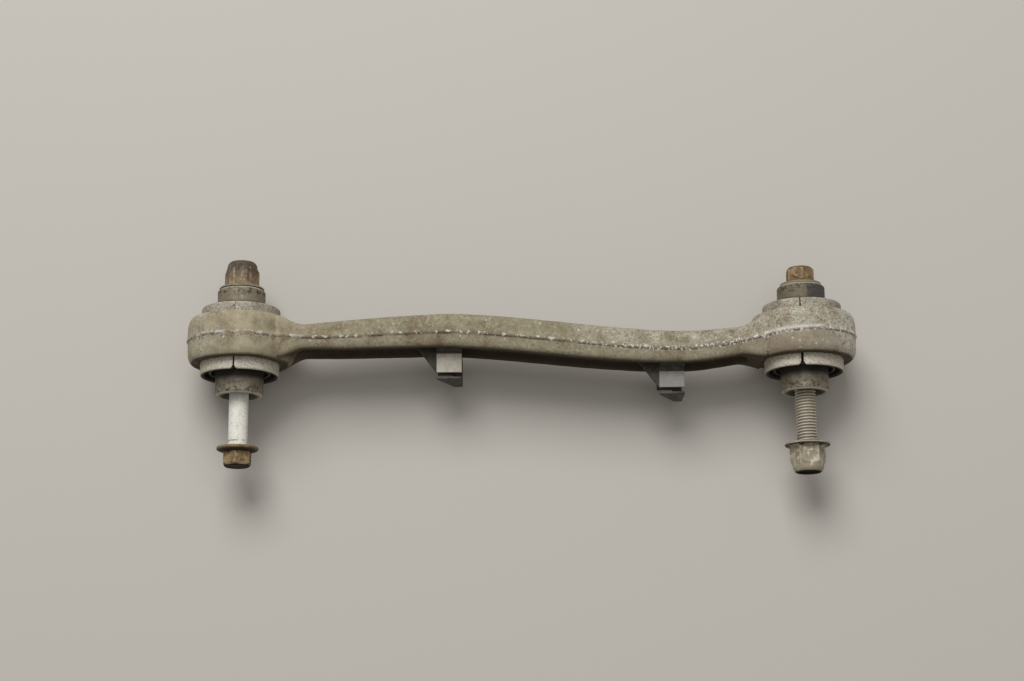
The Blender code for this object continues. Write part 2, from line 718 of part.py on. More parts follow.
def make_gusset(side, left, inner, front, cutters, frame):
    """The flat rib that braces the clip's left side against the floor of the pocket."""
    right = left + CLIP_WALL
    outline = [(left - GUSSET_REACH, inner), (right, inner), (right, front), (left, front)]
    gusset = flat_solid(side + "_gusset", outline, GUSSET_THICKNESS, cutters, frame)
    gusset.location = (0, 0, CLIP_TOP - GUSSET_STEP - GUSSET_THICKNESS / 2)
    return gusset


def make_corner_cut(side, left, back, cutters, frame):
    """The slanting cut that leaves the holder's front wall a finger, in front of its floor."""
    upper = CLIP_TOP - CLIP_LIP_HEIGHT
    fall = (upper + CLIP_DROP) / CLIP_CORNER_CUT
    start = (left - CUT_OVERRUN, upper + fall * CUT_OVERRUN)
    stop = (left + CLIP_CORNER_CUT + CUT_OVERRUN, -CLIP_DROP - fall * CUT_OVERRUN)
    depth = CLIP_PLATE_DEPTH - CLIP_FLOOR_DEPTH + CLIP_SLOT + CLIP_LIP + CUT_OVERRUN
    outline = [start, (start[0], stop[1]), stop]
    cut = flat_solid(side + "_corner_cut", outline, depth, cutters, frame)
    cut.location = (0, back - CLIP_FLOOR_DEPTH - depth / 2, 0)
    cut.rotation_euler = (math.pi / 2, 0, 0)
    return cut


def make_clip(side, x, parts, cutters, frame):
    """A moulded cable clip: two prongs in the front pocket, a slotted holder and a gusset."""
    left = x - CLIP_WIDTH / 2
    ends = (left - GUSSET_REACH, left, x, x + CLIP_WIDTH / 2)
    inner = min(-bend(end) - WEB_THICKNESS / 2 for end in ends) - SEAT_GAP
    face = min(-bend(end) - half_width(end) for end in ends)
    room = min(pocket_half_height(end) for end in ends) * (1 - POCKET_DRAFT_SHARE)
    section = clip_outline(inner - face, room - SEAT_GAP)
    clip = flat_solid(side + "_cable_clip", section, CLIP_WIDTH, parts, frame)
    # The section is drawn in XY; this turn runs it along X with its front towards -Y
    clip.location = (x, face, 0)
    clip.rotation_euler = (math.pi / 2, 0, -math.pi / 2)
    back = face - SEAT_GAP - CLIP_WALL
    combine(clip, "DIFFERENCE", make_corner_cut(side, left, back, cutters, frame))
    front = back - CLIP_PLATE_DEPTH
    combine(clip, "UNION", make_gusset(side, left, inner, front, cutters, frame))
    return clip


def main():
    clear_scene()
    parts = new_collection("rear_control_arm")
    cutters = new_collection("cutters")
    materials = make_materials()
    middle = (0, (FRONT_REACH - REAR_REACH) / 2, EYE_RADIUS)
    frame = add_empty("arm_middle", middle, (0, 0, 0), parts, None)
    toward_front = (math.pi / 2, 0, 0)
    axes = {
        side: add_empty(side + "_bush_axis", (x, 0, 0), toward_front, parts, frame)
        for side, x in (("left", -HALF_SPAN), ("right", HALF_SPAN))
    }
    seats = {"left": (LEFT_HEAD_SEAT, LEFT_NUT_SEAT), "right": (RIGHT_HEAD_SEAT, RIGHT_NUT_SEAT)}
    clips = {"left": LEFT_CLIP_FROM_MIDDLE, "right": RIGHT_CLIP_FROM_MIDDLE}
    pieces = [(make_arm(parts, cutters, frame, axes), "forged_aluminium")]
    for side, axis in axes.items():
        pieces += make_bush(side, SLIT_TURNS[side], parts, cutters, axis)
        pieces += make_fastener(side, *seats[side], parts, cutters, axis)
        pieces.append((make_clip(side, clips[side], parts, cutters, frame), "clip_plastic"))
    bake(pieces, materials)


if __name__ == "__main__":
    main()
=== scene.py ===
# %% [markdown]
# # Rear control arm: its looks
# The real object is a forged aluminium link from a car's rear suspension, taken off after years of
# use. A rubber bush sits in the eye at each end, and a long bolt still hangs in each bush with its
# lock nut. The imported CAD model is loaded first, because every piece made here takes its place, its
# motion and its limits from it.

# %% Load the CAD model
import json
import math

import bmesh
import bpy
import numpy as np
from mathutils import Matrix, Vector

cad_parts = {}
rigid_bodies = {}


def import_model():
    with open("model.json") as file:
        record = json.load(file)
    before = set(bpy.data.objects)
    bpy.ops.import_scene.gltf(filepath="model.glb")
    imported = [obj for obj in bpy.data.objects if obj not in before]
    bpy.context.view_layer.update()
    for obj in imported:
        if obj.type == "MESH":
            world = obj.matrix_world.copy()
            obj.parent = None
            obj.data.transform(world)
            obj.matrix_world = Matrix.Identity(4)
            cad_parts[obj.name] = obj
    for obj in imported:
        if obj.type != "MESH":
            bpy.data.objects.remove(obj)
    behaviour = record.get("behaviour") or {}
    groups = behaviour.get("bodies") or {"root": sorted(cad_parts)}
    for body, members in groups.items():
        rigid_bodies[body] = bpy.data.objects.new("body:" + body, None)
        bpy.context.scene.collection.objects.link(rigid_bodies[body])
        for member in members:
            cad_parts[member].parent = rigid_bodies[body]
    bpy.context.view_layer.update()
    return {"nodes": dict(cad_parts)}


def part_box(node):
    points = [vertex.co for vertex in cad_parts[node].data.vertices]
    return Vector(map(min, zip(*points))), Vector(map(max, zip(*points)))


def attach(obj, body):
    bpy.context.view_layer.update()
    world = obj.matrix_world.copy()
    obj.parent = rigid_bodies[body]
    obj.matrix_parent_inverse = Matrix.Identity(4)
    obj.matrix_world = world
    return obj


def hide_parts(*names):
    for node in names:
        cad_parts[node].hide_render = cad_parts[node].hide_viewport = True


for leftover in list(bpy.data.objects):
    bpy.data.objects.remove(leftover)
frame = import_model()

# %% [markdown]
# ## Sizes
# Everything is built in millimetres and turned into metres at the end. The sizes are those of an
# M12 bolt and of what is stacked around it: sleeve, rubber, ring, rubber, collar and eye. Only the
# places of the two bush axes are read from the CAD model, so the looks can't drift away from it.

# %% Sizes shared by several pieces, in mm
MM = 0.001
SIDES = ("left", "right")


def middle(node):
    low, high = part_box(node)
    return (low + high) / 2 / MM


AXES = {side: middle(side + "_inner_sleeve") for side in SIDES}
HALF_SPAN = (AXES["right"].x - AXES["left"].x) / 2
EYE_LENGTH, EYE_RADIUS, EYE_BORE = 26.5, 31.0, 23.05
COLLAR_LENGTH, COLLAR_RADIUS, COLLAR_BORE = 40.0, 22.75, 20.25
SLEEVE_LENGTH, SLEEVE_RADIUS, SLEEVE_BORE = 63.0, 13.85, 6.3
SLEEVE_SEAT = SLEEVE_LENGTH / 2 + 0.3
BOLT_LENGTH, BOLT_RADIUS, SHANK_RADIUS, THREAD_LENGTH, PITCH = 110.0, 6.0, 5.6, 48.0, 1.75
HEAD_HEIGHT, HEAD_FLATS = 8.5, 15.0
WASHER_THICKNESS, WASHER_RADIUS = 2.5, 12.0
NUT_HEIGHT, NUT_FLATS, NUT_FLANGE = 16.8, 18.0, 13.0
NUT_TURNS = {"left": -23.0, "right": 27.0}
BOLT_RECESS = 2.8
print("bush axes in mm:", {side: tuple(round(c, 2) for c in AXES[side]) for side in SIDES})

# %% [markdown]
# ## Placing pieces
# A bush is easiest to draw standing up, as a profile of radius and height. Each piece is built
# around Z and then laid over, so that its Z runs along the bush axis towards the camera side. A
# fastener whose end points the other way is turned over, never mirrored, because a mirror image of
# a right-hand thread is a left-hand one.

# %% Frames of the bushes and their fasteners
NUT_SEAT = {"left": -SLEEVE_SEAT, "right": -SLEEVE_SEAT - WASHER_THICKNESS - 0.3 + BOLT_LENGTH}
NUT_SEAT["right"] += BOLT_RECESS - NUT_HEIGHT
HEAD_SEAT = {
    "left": -SLEEVE_SEAT - NUT_HEIGHT + BOLT_RECESS + BOLT_LENGTH,
    "right": -SLEEVE_SEAT - WASHER_THICKNESS - 0.3,
}


def bush_frame(side):
    return Matrix.Translation(AXES[side]) @ Matrix.Rotation(math.pi / 2, 4, "X")


def seat_frame(side, height, turn=0.0):
    """A frame on the bush axis whose Z points from the bolt's head to its end."""
    over = math.pi if NUT_SEAT[side] < HEAD_SEAT[side] else 0.0
    seat = Matrix.Translation((0, 0, height)) @ Matrix.Rotation(over, 4, "X")
    return bush_frame(side) @ Matrix.Rotation(math.radians(turn), 4, "Z") @ seat


for side in SIDES:
    print(side, "head seat", round(HEAD_SEAT[side], 1), "nut seat", round(NUT_SEAT[side], 1))

# %% [markdown]
# ## Skins
# Turned parts, hexagons and threads can all be drawn the same way: as a fan of upright profiles
# round an axis, where each profile may differ a little from the next. A hexagon is a profile whose
# radius grows towards the corners. One function joins such a fan into a closed mesh, and another
# softens the corners of the profiles, because no real edge is perfectly sharp.

# %% Skin a fan of profiles
def soften(profiles, radii, steps=3):
    """Replace each corner of the profiles by a small curve; radii has one value for each corner."""
    profiles = np.asarray(profiles, float)
    count = profiles.shape[-2]
    before, after = np.roll(profiles, 1, -2), np.roll(profiles, -1, -2)
    rows = []
    for k in range(count):
        here = profiles[..., k, :]
        if radii[k] == 0:
            rows.append(here)
            continue
        arms = []
        for other in (before[..., k, :], after[..., k, :]):
            span = other - here
            length = np.maximum(np.linalg.norm(span, axis=-1, keepdims=True), 1e-9)
            arms.append(here + span / length * np.minimum(radii[k], 0.45 * length))
        for t in np.linspace(0, 1, steps + 1):
            rows.append((1 - t) ** 2 * arms[0] + 2 * t * (1 - t) * here + t**2 * arms[1])
    return np.stack(rows, -2)


def finish_mesh(name, mesh, smooth_angle=32.0):
    """Close the seams and poles, point the faces outwards and shade the mesh smooth."""
    work = bmesh.new()
    work.from_mesh(mesh)
    bmesh.ops.remove_doubles(work, verts=work.verts, dist=0.0005 * MM)
    bmesh.ops.recalc_face_normals(work, faces=work.faces)
    work.to_mesh(mesh)
    work.free()
    mesh.shade_smooth()
    mesh.set_sharp_from_angle(angle=math.radians(smooth_angle))
    piece = bpy.data.objects.new(name, mesh)
    bpy.context.scene.collection.objects.link(piece)
    return piece


def skin(name, points, around=True, across=True, place=None):
    """A closed mesh, in metres, over a grid of points in mm, given as [column, row, xyz]."""
    columns, rows = points.shape[:2]
    index = np.arange(columns * rows).reshape(columns, rows)
    i = np.arange(columns if around else columns - 1)
    j = np.arange(rows if across else rows - 1)
    here, there = index[i], index[(i + 1) % columns]
    quads = np.stack([here[:, j], there[:, j], there[:, (j + 1) % rows], here[:, (j + 1) % rows]], -1)
    faces = quads.reshape(-1, 4).tolist()
    if not around:
        faces += [index[0].tolist(), index[-1].tolist()]
    mesh = bpy.data.meshes.new(name)
    mesh.from_pydata(points.reshape(-1, 3).tolist(), [], faces)
    mesh.transform(Matrix.Scale(MM, 4) @ (place or Matrix.Identity(4)))
    return finish_mesh(name, mesh)


def points_of(piece, origin):
    """The x, y and z of a piece's points, in mm from an origin."""
    flat = np.empty(len(piece.data.vertices) * 3)
    piece.data.vertices.foreach_get("co", flat)
    return (flat.reshape(-1, 3) / MM - np.array(origin)).T


def ramp(values, start, end):
    """0 up to the start, 1 past the end and a straight line between them."""
    return np.clip((values - start) / (end - start), 0, 1)


def store(piece, name, values):
    """Keep one value for each point of a piece, for its material to read."""
    data = piece.data.attributes.new(name, "FLOAT", "POINT")
    data.data.foreach_set("value", np.asarray(values, np.float32))


def spin(profiles, angles):
    """Points on a fan of (radius, height) profiles; one profile is used for every angle."""
    profiles = np.asarray(profiles, float)
    if profiles.ndim == 2:
        profiles = np.broadcast_to(profiles, (len(angles), *profiles.shape))
    if np.ndim(angles) == 1:
        angles = np.asarray(angles)[:, None]
    radius, height = profiles[..., 0], profiles[..., 1]
    return np.stack([radius * np.cos(angles), radius * np.sin(angles), height], -1)


FULL_TURN = np.linspace(0, 2 * math.pi, 160, endpoint=False)


def check_size(piece):
    size = [round(d / MM, 1) for d in piece.dimensions]
    print(piece.name, size, "mm,", len(piece.data.polygons), "faces")
    return piece


# %% [markdown]
# ## Colours and nodes
# Colours are noted as the sRGB hex values that an eye or a colour picker gives. Blender mixes light
# in linear values, so one function converts them. Worn metal is built up in the order in which it
# really got dirty: the clean surface first, then stains over it, each held to patches of noise of a
# size in millimetres.

# %% Helpers for materials
def hex_colour(code):
    parts = [int(code[i : i + 2], 16) / 255 for i in (1, 3, 5)]
    return (*[c / 12.92 if c <= 0.04045 else ((c + 0.055) / 1.055) ** 2.4 for c in parts], 1.0)


def add(tree, kind, settings=None, inputs=None):
    """Add a node; inputs are listed in order or by name, as values or other nodes' outputs."""
    node = tree.nodes.new(kind)
    for name, value in (settings or {}).items():
        setattr(node, name, value)
    for name, value in inputs.items() if isinstance(inputs, dict) else enumerate(inputs or ()):
        if isinstance(value, bpy.types.NodeSocket):
            tree.links.new(value, node.inputs[name])
        else:
            node.inputs[name].default_value = value
    return node


def new_material(name, roughness, metallic, **extra):
    """An empty Principled material, its shader and its coordinates in metres."""
    material = bpy.data.materials.new(name)
    material.use_nodes = True
    tree = material.node_tree
    shader = tree.nodes["Principled BSDF"]
    shader.inputs["Metallic"].default_value = metallic
    shader.inputs["Roughness"].default_value = roughness
    for socket, value in extra.items():
        shader.inputs[socket.replace("_", " ")].default_value = value
    place = add(tree, "ShaderNodeTexCoord").outputs["Object"]
    return material, tree, shader, place


def patches(tree, place, size, low, high, detail=4.0, stretch=(1, 1, 1), seed=0.0):
    """A mask of noisy patches of about that size in mm, from 0 below low to 1 above high."""
    put = {"Scale": stretch, "Location": (seed, seed, seed), "Vector": place}
    where = add(tree, "ShaderNodeMapping", inputs=put).outputs[0]
    noise = {"Vector": where, "Scale": 1 / (size * MM), "Detail": detail, "Roughness": 0.6}
    cloud = add(tree, "ShaderNodeTexNoise", inputs=noise).outputs["Fac"]
    span = {"Value": cloud, "From Min": low, "From Max": high}
    return add(tree, "ShaderNodeMapRange", inputs=span).outputs[0]


def grains(tree, place, size, share, seed=0.0):
    """A mask of round grains of about that size in mm, on a share of the places for one."""
    put = {"Location": (seed, seed, seed), "Vector": place}
    where = add(tree, "ShaderNodeMapping", inputs=put).outputs[0]
    cells = add(tree, "ShaderNodeTexVoronoi", inputs={"Vector": where, "Scale": 0.6 / (size * MM)}).outputs
    number = add(tree, "ShaderNodeSeparateColor", inputs={0: cells["Color"]}).outputs[0]
    inside = between(tree, cells["Distance"], 0.42, 0.26)
    return times(tree, inside, between(tree, number, 1.0 - share, 1.01 - share))


def between(tree, value, low, high):
    """A mask that runs from 0 where a value is low to 1 where it is high."""
    span = {"Value": value, "From Min": low, "From Max": high}
    return add(tree, "ShaderNodeMapRange", inputs=span).outputs[0]


def times(tree, *factors):
    """Hold one mask to others, or weaken it by a number."""
    result = factors[0]
    for factor in factors[1:]:
        product = add(tree, "ShaderNodeMath", {"operation": "MULTIPLY"}, [result, factor])
        result = product.outputs[0]
    return result


def stored(tree, name, *masks):
    """A mask that was stored with the mesh for each point, held to other masks."""
    mask = add(tree, "ShaderNodeAttribute", {"attribute_name": name}).outputs["Fac"]
    return times(tree, mask, *masks)


def work_out(tree, known, steps):
    """Work out a formula; each step is a name, an operation and the names or numbers it takes."""
    known = dict(known)
    for name, operation, *values in steps:
        values = [known[value] if isinstance(value, str) else value for value in values]
        known[name] = add(tree, "ShaderNodeMath", {"operation": operation}, values).outputs[0]
    return known


def paint(tree, under, colour, mask):
    """Lay a colour over what is under it, where the mask says."""
    over = colour if isinstance(colour, bpy.types.NodeSocket) else hex_colour(colour)
    base = under if isinstance(under, bpy.types.NodeSocket) else hex_colour(under)
    # Among a Mix node's inputs, 0 is its factor and 6 and 7 are its two colours.
    return add(tree, "ShaderNodeMix", {"data_type": "RGBA"}, {0: mask, 6: base, 7: over}).outputs[2]


def weather(tree, place, colour, layers):
    """Lay patches over a colour, each (colour, strength, size in mm, low, high, detail, seed)."""
    for over, strength, size, low, high, detail, seed in layers:
        mask = patches(tree, place, size, low, high, detail, seed=seed)
        colour = paint(tree, colour, over, times(tree, mask, strength))
    return colour


def roughen(tree, shader, low, high, mask):
    """Let the roughness run from low to high with a mask."""
    span = {"Value": mask, "To Min": low, "To Max": high}
    rough = add(tree, "ShaderNodeMapRange", inputs=span).outputs[0]
    tree.links.new(rough, shader.inputs["Roughness"])


def emboss(tree, shader, place, layers):
    """Raise the surface by noise: layers of (size in mm, height in mm, detail)."""
    total = None
    for size, height, detail in layers:
        noise = {"Vector": place, "Scale": 1 / (size * MM), "Detail": detail}
        cloud = add(tree, "ShaderNodeTexNoise", inputs=noise).outputs["Fac"]
        step = {0: cloud, 1: height * MM, 2: total if total is not None else 0.0}
        total = add(tree, "ShaderNodeMath", {"operation": "MULTIPLY_ADD"}, step).outputs[0]
    bump = {"Height": total, "Distance": 1.0, "Strength": 1.0}
    tree.links.new(add(tree, "ShaderNodeBump", inputs=bump).outputs[0], shader.inputs["Normal"])


def use(piece, *materials):
    piece.data.materials.clear()
    for material in materials:
        piece.data.materials.append(material)


# %% [markdown]
# ## The arm's shape
# The arm is a forging: hot aluminium squeezed between two dies. It has a pocket on both sides, which
# makes the beam an I in section, a gentle S-bend, and an eye at each end that flows into the beam
# without a corner. Booleans would leave sharp seams where a forging has fillets, so the arm is drawn
# as a distance field instead. Each form is a formula that says how far a point lies outside it, and
# forms joined with a smooth minimum melt into each other as metal does in a die.

# %% Formulas of the beam
BEND_SHARES = np.array([
    (-1.00, 0.00), (-0.86, -0.02), (-0.71, -0.13), (-0.60, -0.22), (-0.43, -0.38), (-0.25, -0.46),
    (-0.08, -0.24), (0.10, 0.12), (0.275, 0.49), (0.45, 0.77), (0.55, 0.82), (0.63, 0.77),
    (0.77, 0.43), (0.88, 0.12), (1.00, 0.00),
])
BEND_OFFSET = 8.1
BEAM_HEIGHTS = (31.5, 33.0)
BEAM_WIDTHS = {"left": 15.6, "middle": 20.6, "right": 17.5}
BEAM_TAPER_POWER = 2.5
BEAM_EDGE, BEAM_ROOF = 3.8, 0.9
NECK_RADIUS, FLANGE, WEB = 30.0, 5.6, 6.5
NECK_SIDE_START, NECK_SIDE_LENGTH = 7.0, 17.0
POCKET_END = HALF_SPAN - EYE_RADIUS - 1.5
NECK_RUN = math.sqrt((EYE_RADIUS + NECK_RADIUS) ** 2 - (BEAM_HEIGHTS[0] / 2 + NECK_RADIUS) ** 2)


def bend(x):
    """How far the beam's middle lies towards -Y, from a smooth curve through the shares."""
    at, share = BEND_SHARES.T
    rise = np.empty(len(at))
    rise[1:-1] = (share[2:] - share[:-2]) / (at[2:] - at[:-2])
    rise[[0, -1]] = (share[[1, -1]] - share[[0, -2]]) / (at[[1, -1]] - at[[0, -2]])
    x = np.clip(x / HALF_SPAN, -1, 1)
    k = np.clip(np.searchsorted(at, x) - 1, 0, len(at) - 2)
    run = at[k + 1] - at[k]
    t = (x - at[k]) / run
    ends = share[k] * (2 * t**3 - 3 * t**2 + 1) + share[k + 1] * (3 * t**2 - 2 * t**3)
    lean = rise[k] * (t**3 - 2 * t**2 + t) + rise[k + 1] * (t**3 - t**2)
    return BEND_OFFSET * (ends + run * lean)


def half_height(x):
    swell = np.cos(math.pi / 2 * np.minimum(abs(x) / (HALF_SPAN - NECK_RUN), 1)) ** 2
    run = np.clip(NECK_RUN - (HALF_SPAN - abs(x)), 0, NECK_RADIUS - 0.1)
    neck = NECK_RADIUS - np.sqrt(NECK_RADIUS**2 - run**2)
    return (BEAM_HEIGHTS[0] + (BEAM_HEIGHTS[1] - BEAM_HEIGHTS[0]) * swell) / 2 + neck


def half_width(x):
    neck = HALF_SPAN - EYE_RADIUS - NECK_SIDE_START
    end = np.where(x < 0, BEAM_WIDTHS["left"], BEAM_WIDTHS["right"]) - BEAM_WIDTHS["middle"]
    width = (BEAM_WIDTHS["middle"] + end * np.minimum(abs(x) / neck, 1) ** BEAM_TAPER_POWER) / 2
    t = np.clip((abs(x) - neck) / NECK_SIDE_LENGTH, 0, 1)
    return width + (EYE_LENGTH / 2 - 0.6 - width) * t * t * (3 - 2 * t)


print("beam height at its middle", 2 * float(half_height(np.array(0.0))), "mm")

# %% [markdown]
# ### The eyes, the pockets and the flash
# The eyes are round discs that melt into the beam, and the pockets are cut with a smooth maximum,
# which leaves the fillets that a die needs. Waves and dents far smaller than a millimetre keep the
# roof from looking machined, and a fine ridge along the parting line is the flash.

# %% Formulas of the whole forging
def smooth_min(a, b, k):
    return np.minimum(a, b) - np.maximum(k - abs(a - b), 0) ** 2 / (4 * k)


def smooth_max(a, b, k):
    return -smooth_min(-a, -b, k)


def pocket_mouth(x, u):
    """Distance from a pocket's outline, seen from the side, at the depth of u."""
    end = half_height(np.array(POCKET_END)) - FLANGE
    depth = np.clip((half_width(x) - abs(u)) / (half_width(x) - WEB / 2), 0, 1)
    mouth = (half_height(np.minimum(abs(x), POCKET_END)) - FLANGE) * (1 - 0.10 * depth)
    return mouth, np.maximum(abs(x) - (POCKET_END - end), 0) / end


def pocket(x, u, z):
    mouth, into_end = pocket_mouth(x, u)
    outline = (np.hypot(into_end, z / mouth) - 1) * mouth
    share = np.sqrt(np.clip(1 - into_end**2, 0, 1))
    floor = WEB / 2 + (half_width(x) - WEB / 2) * 0.65 * (1 - share)
    return smooth_max(outline, floor - abs(u), 3.0)


def from_flash(x, u):
    """Distance across the arm from the flash, which runs nearer the front along the beam."""
    return u + 1.2 * np.clip((HALF_SPAN - EYE_RADIUS - abs(x)) / 20, 0, 1)


DENTS = np.random.default_rng(7).uniform((-140, -9, -1, 1.5), (150, 9, 1, 4.0), (26, 4))


def forging(x, y, z):
    """How far a point lies outside the arm, in mm; the middle of the arm is the origin."""
    u = y + bend(x)
    high, wide = half_height(x) - BEAM_EDGE, half_width(x) - BEAM_EDGE
    side, top = abs(u) - wide, abs(z) + BEAM_ROOF * abs(u) / wide - high
    beam = np.hypot(np.maximum(side, 0), np.maximum(top, 0)) + np.minimum(np.maximum(side, top), 0)
    beam = smooth_max(beam - BEAM_EDGE, -pocket(x, u, z), 1.8)
    beam = np.maximum(beam, abs(x) - (HALF_SPAN - EYE_BORE - 0.5))
    radius = np.hypot(abs(x) - HALF_SPAN, z)
    rim = np.maximum(radius + 0.035 * abs(y) + 0.55 - (EYE_RADIUS - 3), 0) / 3
    land = np.maximum(abs(y) - (EYE_LENGTH / 2 - 6), 0) / 6
    melt = 0.4 + 3.6 * np.clip((HALF_SPAN - EYE_BORE - 0.5 - abs(x)) / 12, 0, 1)
    body = smooth_min(beam, (np.hypot(rim, land) - 1) * 3, melt)
    wave = np.sin(x / 9.1 + 1.3 * np.sin(z / 7)) * np.sin(z / 6.3 + y / 8) * np.sin(x / 23 + 2)
    body = body + 0.10 * wave + 0.06 * np.sin(x / 3.7 + y / 2.9) * np.sin(z / 3.1 - x / 5.3)
    for at, across, face, size in DENTS:
        spot = (half_height(np.array(at)) - 0.6 * abs(across) / 9) * np.sign(face)
        away = (x - at) ** 2 + (u - across) ** 2 + (z - spot) ** 2
        body = body + 0.11 * size * np.exp(-away / size**2)
    flash = 0.30 + 0.10 * np.sin(x / 5.3) * np.sin(x / 11.9 + 1) + 0.05 * np.sin(x / 1.9 + z / 2.3)
    flash = flash + 0.2 * np.clip((abs(x) - HALF_SPAN - 20) / 8, 0, 1)
    outside = np.clip((radius - EYE_BORE - 3) / 2, 0, 1)
    v = from_flash(x, u)
    ridge = flash * np.exp(-((v / 0.75) ** 2)) + 0.12 * np.tanh(v / 0.5)
    return smooth_max(body - ridge * outside, EYE_BORE - radius, 0.8)


# %% [markdown]
# ### From the formula to a mesh
# The space round the arm is cut into small blocks. Wherever the formula changes sign inside a block,
# the surface passes through it, and the block gets one point. Points of neighbouring blocks make
# the faces, and each point is then slid onto the exact surface. The blocks follow the S-bend and are
# thin along the parting line, so the flash there comes out as a crisp ridge.

# %% Mesh the forging
def grid_lines(*stretches):
    """Lines across one direction: each stretch is (start, end, spacing) in mm."""
    lines = [np.linspace(a, b, round((b - a) / step), endpoint=False) for a, b, step in stretches]
    return np.append(np.concatenate(lines), stretches[-1][1])


REACH = HALF_SPAN + EYE_RADIUS + 1.0
EYE_SIDE = HALF_SPAN - EYE_RADIUS - 6.0
X_LINES = grid_lines((-REACH, -EYE_SIDE, 0.95), (-EYE_SIDE, EYE_SIDE, 1.45), (EYE_SIDE, REACH, 0.95))
U_LINES = grid_lines((-16, -3.2, 0.85), (-3.2, 1.6, 0.4), (1.6, 16, 0.85))
Z_LINES = grid_lines((-32, 32, 0.9))


def surface_points(values, lines):
    """One point for each block of the grid that the surface passes through."""
    inside = values < 0
    sums = np.zeros([n - 1 for n in values.shape] + [3])
    hits = np.zeros([n - 1 for n in values.shape])
    mesh = np.meshgrid(*lines, indexing="ij")
    for axis in range(3):
        low = [slice(None)] * 3
        high = [slice(None)] * 3
        low[axis], high[axis] = slice(None, -1), slice(1, None)
        low, high = tuple(low), tuple(high)
        crossed = inside[low] != inside[high]
        gap = np.where(crossed, values[low] - values[high], 1)
        share = np.where(crossed, values[low] / gap, 0)
        place = [m[low] + share * (m[high] - m[low]) for m in mesh]
        others = [a for a in range(3) if a != axis]
        for first in (0, 1):
            for second in (0, 1):
                part = [slice(None)] * 3
                for a, shift in zip(others, (first, second)):
                    part[a] = slice(shift, values.shape[a] - 1 + shift)
                part = tuple(part)
                hits += crossed[part]
                for c in range(3):
                    sums[..., c] += np.where(crossed[part], place[c][part], 0)
    used = hits > 0
    number = np.full(hits.shape, -1)
    number[used] = np.arange(used.sum())
    return sums[used] / hits[used][:, None], number, inside


def surface_faces(number, inside):
    """A face across each grid edge whose two ends lie on either side of the surface."""
    faces = []
    for axis in range(3):
        b, c = [a for a in range(3) if a != axis]
        low = [slice(1, -1)] * 3
        high = [slice(1, -1)] * 3
        low[axis], high[axis] = slice(0, -1), slice(1, None)
        start, end = inside[tuple(low)], inside[tuple(high)]
        at = np.argwhere(start != end)
        grow = start[tuple(at.T)]
        at[:, b] += 1
        at[:, c] += 1
        corners = []
        for first, second in ((0, 0), (1, 0), (1, 1), (0, 1)):
            cell = at.copy()
            cell[:, b] -= first
            cell[:, c] -= second
            corners.append(number[tuple(cell.T)])
        quads = np.stack(corners, -1)
        turned = grow if axis != 1 else ~grow
        faces.append(np.where(turned[:, None], quads, quads[:, ::-1]))
    return np.concatenate(faces)


def slope(x, y, z, step=0.05):
    """The direction in which the formula grows, found with small steps."""
    return np.stack([
        forging(x + step, y, z) - forging(x - step, y, z),
        forging(x, y + step, z) - forging(x, y - step, z),
        forging(x, y, z + step) - forging(x, y, z - step),
    ], -1) / (2 * step)


grid_x, grid_u, grid_z = np.meshgrid(X_LINES, U_LINES, Z_LINES, indexing="ij")
field = forging(grid_x, grid_u - bend(grid_x), grid_z)
arm_points, numbers, inside = surface_points(field, (X_LINES, U_LINES, Z_LINES))
arm_faces = surface_faces(numbers, inside)
arm_points[:, 1] -= bend(arm_points[:, 0])
for _ in range(3):
    push = slope(*arm_points.T)
    off = forging(*arm_points.T) / np.maximum((push**2).sum(-1), 0.2)
    arm_points -= np.clip(off, -0.4, 0.4)[:, None] * push
print(len(arm_points), "points and", len(arm_faces), "faces; furthest off", round(float(abs(off).max()), 3))

# %% [markdown]
# The mesh is moved to the arm's place, while its object stays at the origin, so that the noise in
# its material keeps its place too.

# %% Build the arm's object
ARM_MIDDLE = (AXES["left"] + AXES["right"]) / 2
arm_mesh = bpy.data.meshes.new("forged_arm")
arm_mesh.from_pydata(((arm_points + np.array(ARM_MIDDLE)) * MM).tolist(), [], arm_faces.tolist())
arm = finish_mesh("forged_arm", arm_mesh, smooth_angle=60.0)

# %% [markdown]
# The material will want to know how far each point lies from the parting line, how deep in a pocket it sits
# and where road salt has reached it, because flash, dirt, painted shade and oxide follow those and not the
# axes. All of them are stored with the mesh as attributes.

# %% Store where flash, dirt, painted shade and salt sit
x, y, z = points_of(arm, ARM_MIDDLE)
u = y + bend(x)
normals = np.empty(len(arm_mesh.vertices) * 3)
arm_mesh.vertices.foreach_get("normal", normals)
facing = normals.reshape(-1, 3)[:, 1]
mouth, into_end = pocket_mouth(x, u)
depth = ramp(half_width(x) - abs(u), 0, 1.6)
room = ramp((1 - np.hypot(into_end, z / mouth)) * mouth, 0, 2.0)
past_eye = np.hypot(abs(x) - HALF_SPAN, z) > EYE_RADIUS
past_axis = abs(x) - HALF_SPAN
low_front = ramp(u + half_width(x), 8, 5) * ramp(z, 6, 2) * past_eye
salty_beam = ramp(z, 6, 14) * ramp(x, 18, 63) * np.maximum(ramp(u, -1.5, 3.5), 0.15)
salty_eye = ramp(x, 128, 142) * np.maximum(ramp(u, -5.6, 2.4), ramp(past_axis, 4, 18))
salty_eye = salty_eye + 0.7 * (x < 0) * ramp(past_axis, 4, 18) ** 2
rubbed_line = np.exp(-(((from_flash(x, u) - 0.9) / 0.9) ** 2))
store(arm, "parting", from_flash(x, u))
# The next two masks mark where the arm is painted dark, for dirt and as painted shade: deep in the pockets,
# and on the steep sides.
store(arm, "pocket", depth * room * past_eye)
store(arm, "flank", np.maximum.reduce([ramp(-facing, 0.62, 0.88), ramp(facing, 0.93, 0.99), low_front]))
store(arm, "pale_line", ramp(x, 137, 140) * ramp(x, 171, 168) * rubbed_line)
store(arm, "frost", ramp(x - HALF_SPAN, 13, 25) * ramp(z, -8, 0))
